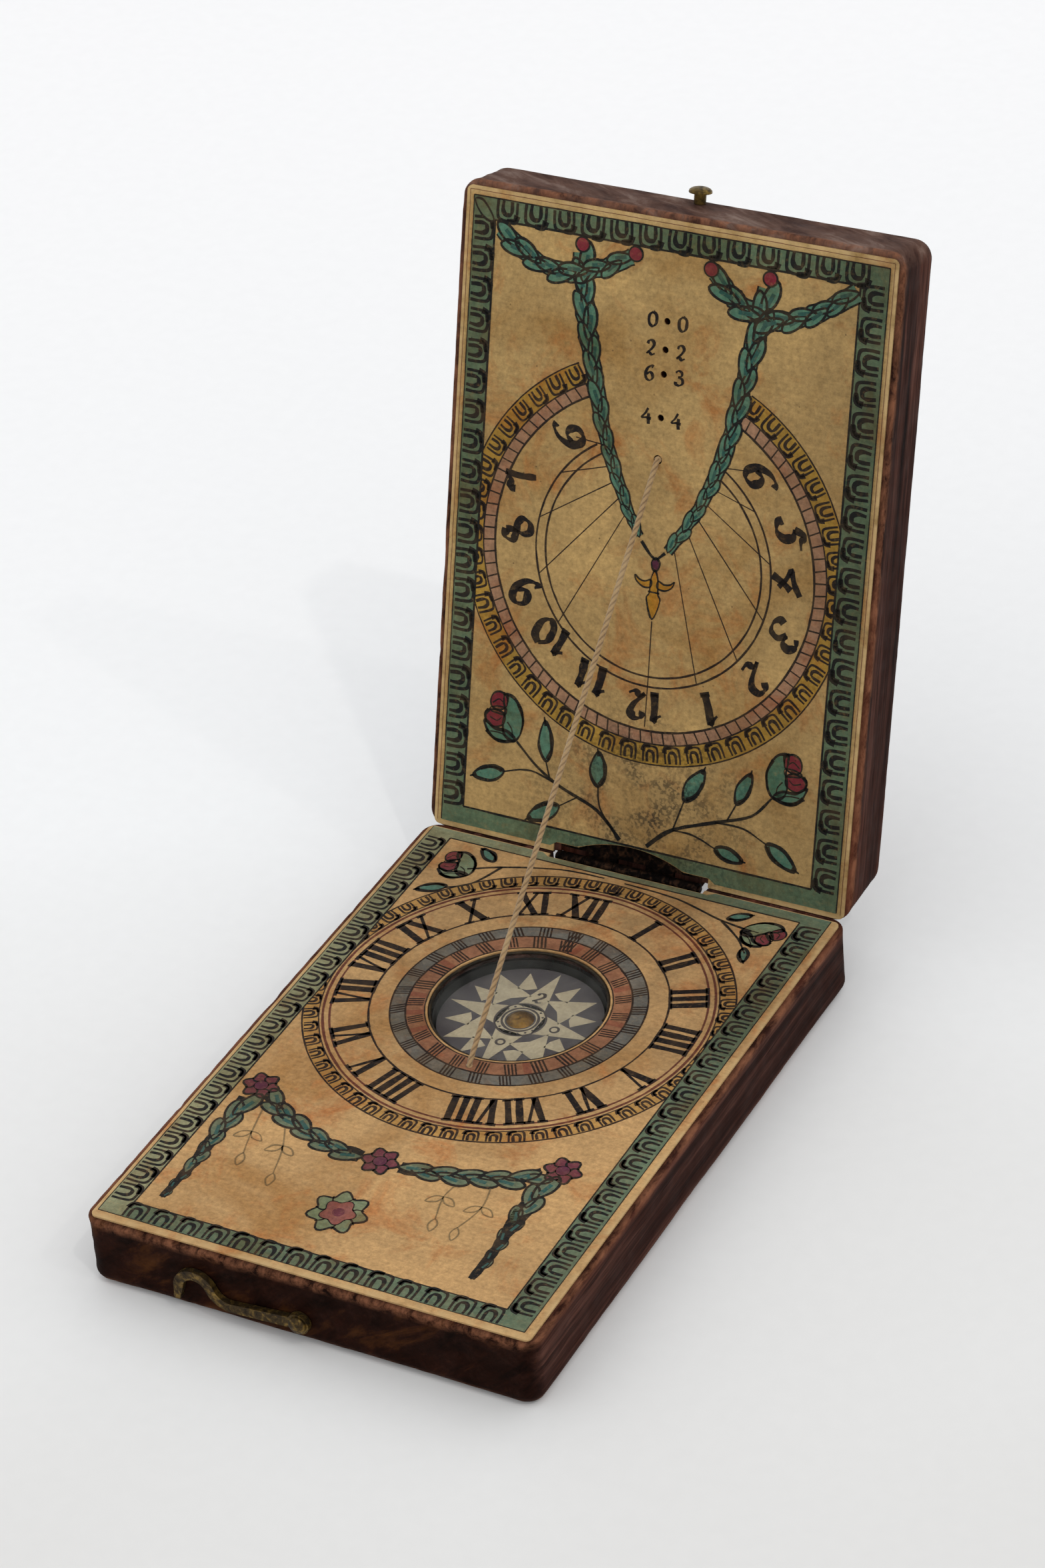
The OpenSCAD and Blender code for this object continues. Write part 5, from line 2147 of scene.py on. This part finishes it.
@dataclass
class CompassCard:
    """What is painted on the turning card: a sixteen-pointed star. Sizes in millimetres."""

    frame: Frame
    card_depth: float = 2.4
    swing: float = -3.0

    def sheet(self) -> Sheet:
        """Gives the card's face as a sheet whose origin is the pivot."""
        lower = self.frame.lower
        return Sheet(lower.at(self.frame.line_x, self.frame.compass_u, -self.card_depth))

    def draw(self) -> tuple[Film, Film]:
        """Draws the star and the marks on it.

        Returns:
            The star, and the marks.
        """
        cream = Ink(UPPER_TONE, 1)
        line = cream.over(2)
        dark = cream.over(3)

        def spun(points: Outline, turn: float) -> list[Point]:
            """Turns points about the pivot."""
            return placed(points, (0, 0), 1, turn)

        star = Film(self.sheet())
        marks = Film(self.sheet())
        for quarter in range(4):
            turn = self.swing + 90 * quarter
            star.fill(spun([(-2.0, 2.6), (0.0, 10.3), (2.0, 2.6)], turn), cream)
            star.fill(spun([(-2.6, 4.2), (0.0, 10.1), (2.6, 4.2), (0, 4.8)], turn + 45), cream)
            for side in (-1, 1):
                star.fill(spun([(-1.3, 6.5), (0.0, 9.7), (1.3, 6.5), (0, 6.2)], turn + 22.5 * side), cream)
        star.band((0, 0), 3.3, 2.0, cream)
        for radius, width in ((3.3, 0.26), (2.36, 0.3)):
            marks.ring((0, 0), radius, width, line)
        for turn in range(0, 360, 20):
            marks.dot(spun([(0, 2.84)], turn)[0], 0.17, line)
        nib = Nib(0.46, 0.2, 28)
        write_digits(marks, "2", spun([(0, 4.9)], self.swing)[0], self.swing, 2.0, nib, dark)
        for turn in (-90, 180):
            marks.ring(spun([(0, 5.0)], self.swing + turn)[0], 0.55, 0.3, dark)
        return star, marks


# Camera, lights and floor


@dataclass(frozen=True)
class Viewpoint:
    """The camera, where the fit to the leaves' corners puts it.

    Attributes:
        place: Its place in millimetres.
        right: Direction to the right of the picture.
        down: Direction down the picture.
        lens: Focal length in millimetres for a picture 36 mm high.
    """

    place: Vector = field(default_factory=lambda: Vector((246.593, -402.811, 377.368)))
    right: Vector = field(default_factory=lambda: Vector((0.88499, 0.45967, -0.07408)))
    down: Vector = field(default_factory=lambda: Vector((0.20837, -0.53330, -0.81986)))
    lens: float = 110.396

    def build(self) -> None:
        """Makes the camera and gives it to the scene."""
        camera = new_object("camera", bpy.data.cameras.new("camera"))
        camera.data.lens = self.lens
        camera.data.sensor_width = 36
        up = -self.down
        back = self.right.cross(up)
        axes = Matrix((self.right, up, back)).transposed().to_4x4()
        camera.matrix_world = Matrix.Translation(self.place * MM) @ axes
        bpy.context.scene.camera = camera


@dataclass(frozen=True)
class Studio:
    """Plain pale floor and soft light from above and the front right.

    Attributes:
        key_place: Place of the soft lamp in metres.
        key_power: Its power in watts.
        second_place: Place of a weaker lamp that throws the faint second shadow.
        second_power: Its power in watts.
        lamp_size: Width of both lamps in metres.
        sky: Strength of the even light from all round.
        floor_half: Half the floor's width in metres.
    """

    key_place: tuple[float, float, float] = (1.00, -0.57, 1.87)
    key_power: float = 2.8
    second_place: tuple[float, float, float] = (1.58, -0.14, 1.80)
    second_power: float = 1.7
    lamp_size: float = 0.05
    sky: float = 0.97
    floor_half: float = 4.0

    def build(self, floor: Material) -> None:
        """Makes the floor, the lamps and the world.

        Args:
            floor: The floor's material.
        """
        corners = [Vector((x, y, 0)) * self.floor_half for x, y in ((-1, -1), (1, -1), (1, 1), (-1, 1))]
        mesh_piece("floor", corners, [(0, 1, 2, 3)], floor)
        self._lamp("key_lamp", self.key_place, self.key_power)
        self._lamp("second_lamp", self.second_place, self.second_power)
        world = bpy.data.worlds.new("studio")
        world.use_nodes = True
        back = world.node_tree.nodes["Background"]
        back.inputs["Color"].default_value = (0.97, 0.985, 1.0, 1)
        back.inputs["Strength"].default_value = self.sky
        bpy.context.scene.world = world

    def _lamp(self, name: str, place: tuple[float, float, float], power: float) -> None:
        """Makes one square lamp that faces the object."""
        lamp = bpy.data.lights.new(name, "AREA")
        lamp.size = self.lamp_size
        lamp.energy = power
        lamp.color = (1.0, 0.97, 0.93)
        made = new_object(name, lamp)
        made.location = place
        made.rotation_euler = (Vector(place) - Vector((0, 0.01, 0.03))).to_track_quat("Z", "Y").to_euler()


def dress_small_parts() -> None:
    """Gives the metal parts and the compass their finishes."""
    for finish, slot, nodes in (
        (OldMetal("black_iron", (70, 48, 34), (22, 17, 15), (9, 7, 7), 1.0, (0.5, 0.8)), Slot.IRON,
         ("hinge_plate_lower", "hinge_plate_upper", "hinge_pin", "hinge_nails_lower", "hinge_nails_upper")),
        # Painted shade: a darker, duller brass for the glass ring, for the shade round the well's rim.
        (OldMetal("ring_brass", (66, 52, 30), (42, 33, 20), (20, 16, 11), 0.5, (0.5, 0.8)), Slot.BRASS,
         ("glass_ring",)),
        # Painted shade: the hook and its nail get a darker brass than the stud, for the shade on the base's
        # front face.
        (OldMetal("dark_brass", (150, 120, 58), (70, 54, 28), (24, 18, 12), 0.8, (0.34, 0.6)), Slot.BRASS,
         ("clasp_hook", "clasp_nail")),
        (OldMetal("tarnished_brass", (150, 122, 62), (104, 84, 42), (44, 34, 22)), Slot.BRASS,
         ("clasp_stud", "compass_pivot")),
        (OldMetal("cap_brass", (150, 112, 44), (118, 84, 30), (58, 42, 20)), Slot.BRASS, ("compass_cap",)),
        (OldMetal("blued_steel", (90, 96, 110), (56, 60, 72), (30, 30, 34)), Slot.STEEL,
         ("compass_magnet",)),
        (Lacquer("bowl_lacquer"), Slot.BOWL, ("compass_bowl",)),
        (OldGlass("old_glass"), Slot.GLASS, ("compass_glass",)),
        (PrintedCard("card_ground", (72, 66, 68), (92, 86, 84)), Slot.CARD, ("compass_card",)),
    ):
        material = finish.build()
        for node in nodes:
            dress(node, material)


def main() -> None:
    """Builds the scene."""
    logging.basicConfig(level=logging.INFO, format="%(name)s: %(message)s")
    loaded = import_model()
    frame = Frame.read(loaded)
    bpy.context.scene.view_settings.view_transform = "Standard"

    Viewpoint().build()
    thread = Thread("flax_thread").build()
    string = GnomonString(frame)
    string.declare(string.build(thread))
    Studio().build(StudioFloor().build())

    leaves = Leaves(frame)
    # End-grain colours: painted shade for the base's front end, and painted light and sheen for the lid's
    # top end.
    shaded_front_end_grain = ((11, 4, 2), (30, 12, 6), (70, 40, 17))
    lit_top_end_grain = ((58, 38, 32), (92, 68, 58), (132, 112, 102))
    base_wood = WornWood("stained_wood_lower", 0.0, shaded_front_end_grain).build()
    lid_wood = WornWood("stained_wood_upper", frame.upper.lean(), lit_top_end_grain).build()
    hand_over(leaves.build_lower(base_wood), Body.BASE, Slot.WOOD, "lower_leaf")
    hand_over(leaves.build_upper(lid_wood), Body.LID, Slot.WOOD, "upper_leaf")

    lower_paper = AgedPaper("lower_paper", LOWER_TONE, frame.lower, -1, (0, -6), (44, 50), 0.36, 0.1, 0.08)
    upper_paper = AgedPaper("upper_paper", UPPER_TONE, frame.upper, 1, (1, 9), (19, 17), 0.34, 0.8, 0.3)
    lower_ink = lower_paper.build(inked=True)
    upper_ink = upper_paper.build(inked=True)
    dress("lower_dial_paper", lower_paper.build())
    dress("upper_dial_paper", upper_paper.build())

    tree = motif_tree()
    upper_dial = UpperDial(frame.upper)
    lower_dial = LowerDial(frame.lower, (frame.line_x, frame.compass_u))
    hand_over(upper_dial.draw().mesh("upper_dial_print", upper_ink), Body.LID, Slot.UPPER_PAPER)
    hand_over(lower_dial.draw().mesh("lower_dial_print", lower_ink), Body.BASE, Slot.LOWER_PAPER)
    for row in upper_dial.rows():
        hand_over(row.build(tree, frame.upper, upper_ink), Body.LID, Slot.UPPER_PAPER)
    for row in lower_dial.rows():
        hand_over(row.build(tree, frame.lower, lower_ink), Body.BASE, Slot.LOWER_PAPER)

    dress_small_parts()
    string.trim_knot("string_knot_lower", frame.lower, thread, Body.BASE)
    string.trim_knot("string_knot_upper", frame.upper, thread, Body.LID)
    star, marks = CompassCard(frame).draw()
    star_paint = PrintedCard("star_cream", (184, 170, 140), (150, 138, 114)).build()
    mark_paint = PrintedCard("card_marks", (64, 56, 54), (86, 76, 70)).build()
    hand_over(star.mesh("compass_star", star_paint), Body.COMPASS, Slot.CARD)
    hand_over(marks.mesh("compass_marks", mark_paint), Body.COMPASS, Slot.CARD)


if __name__ == "__main__":
    main()
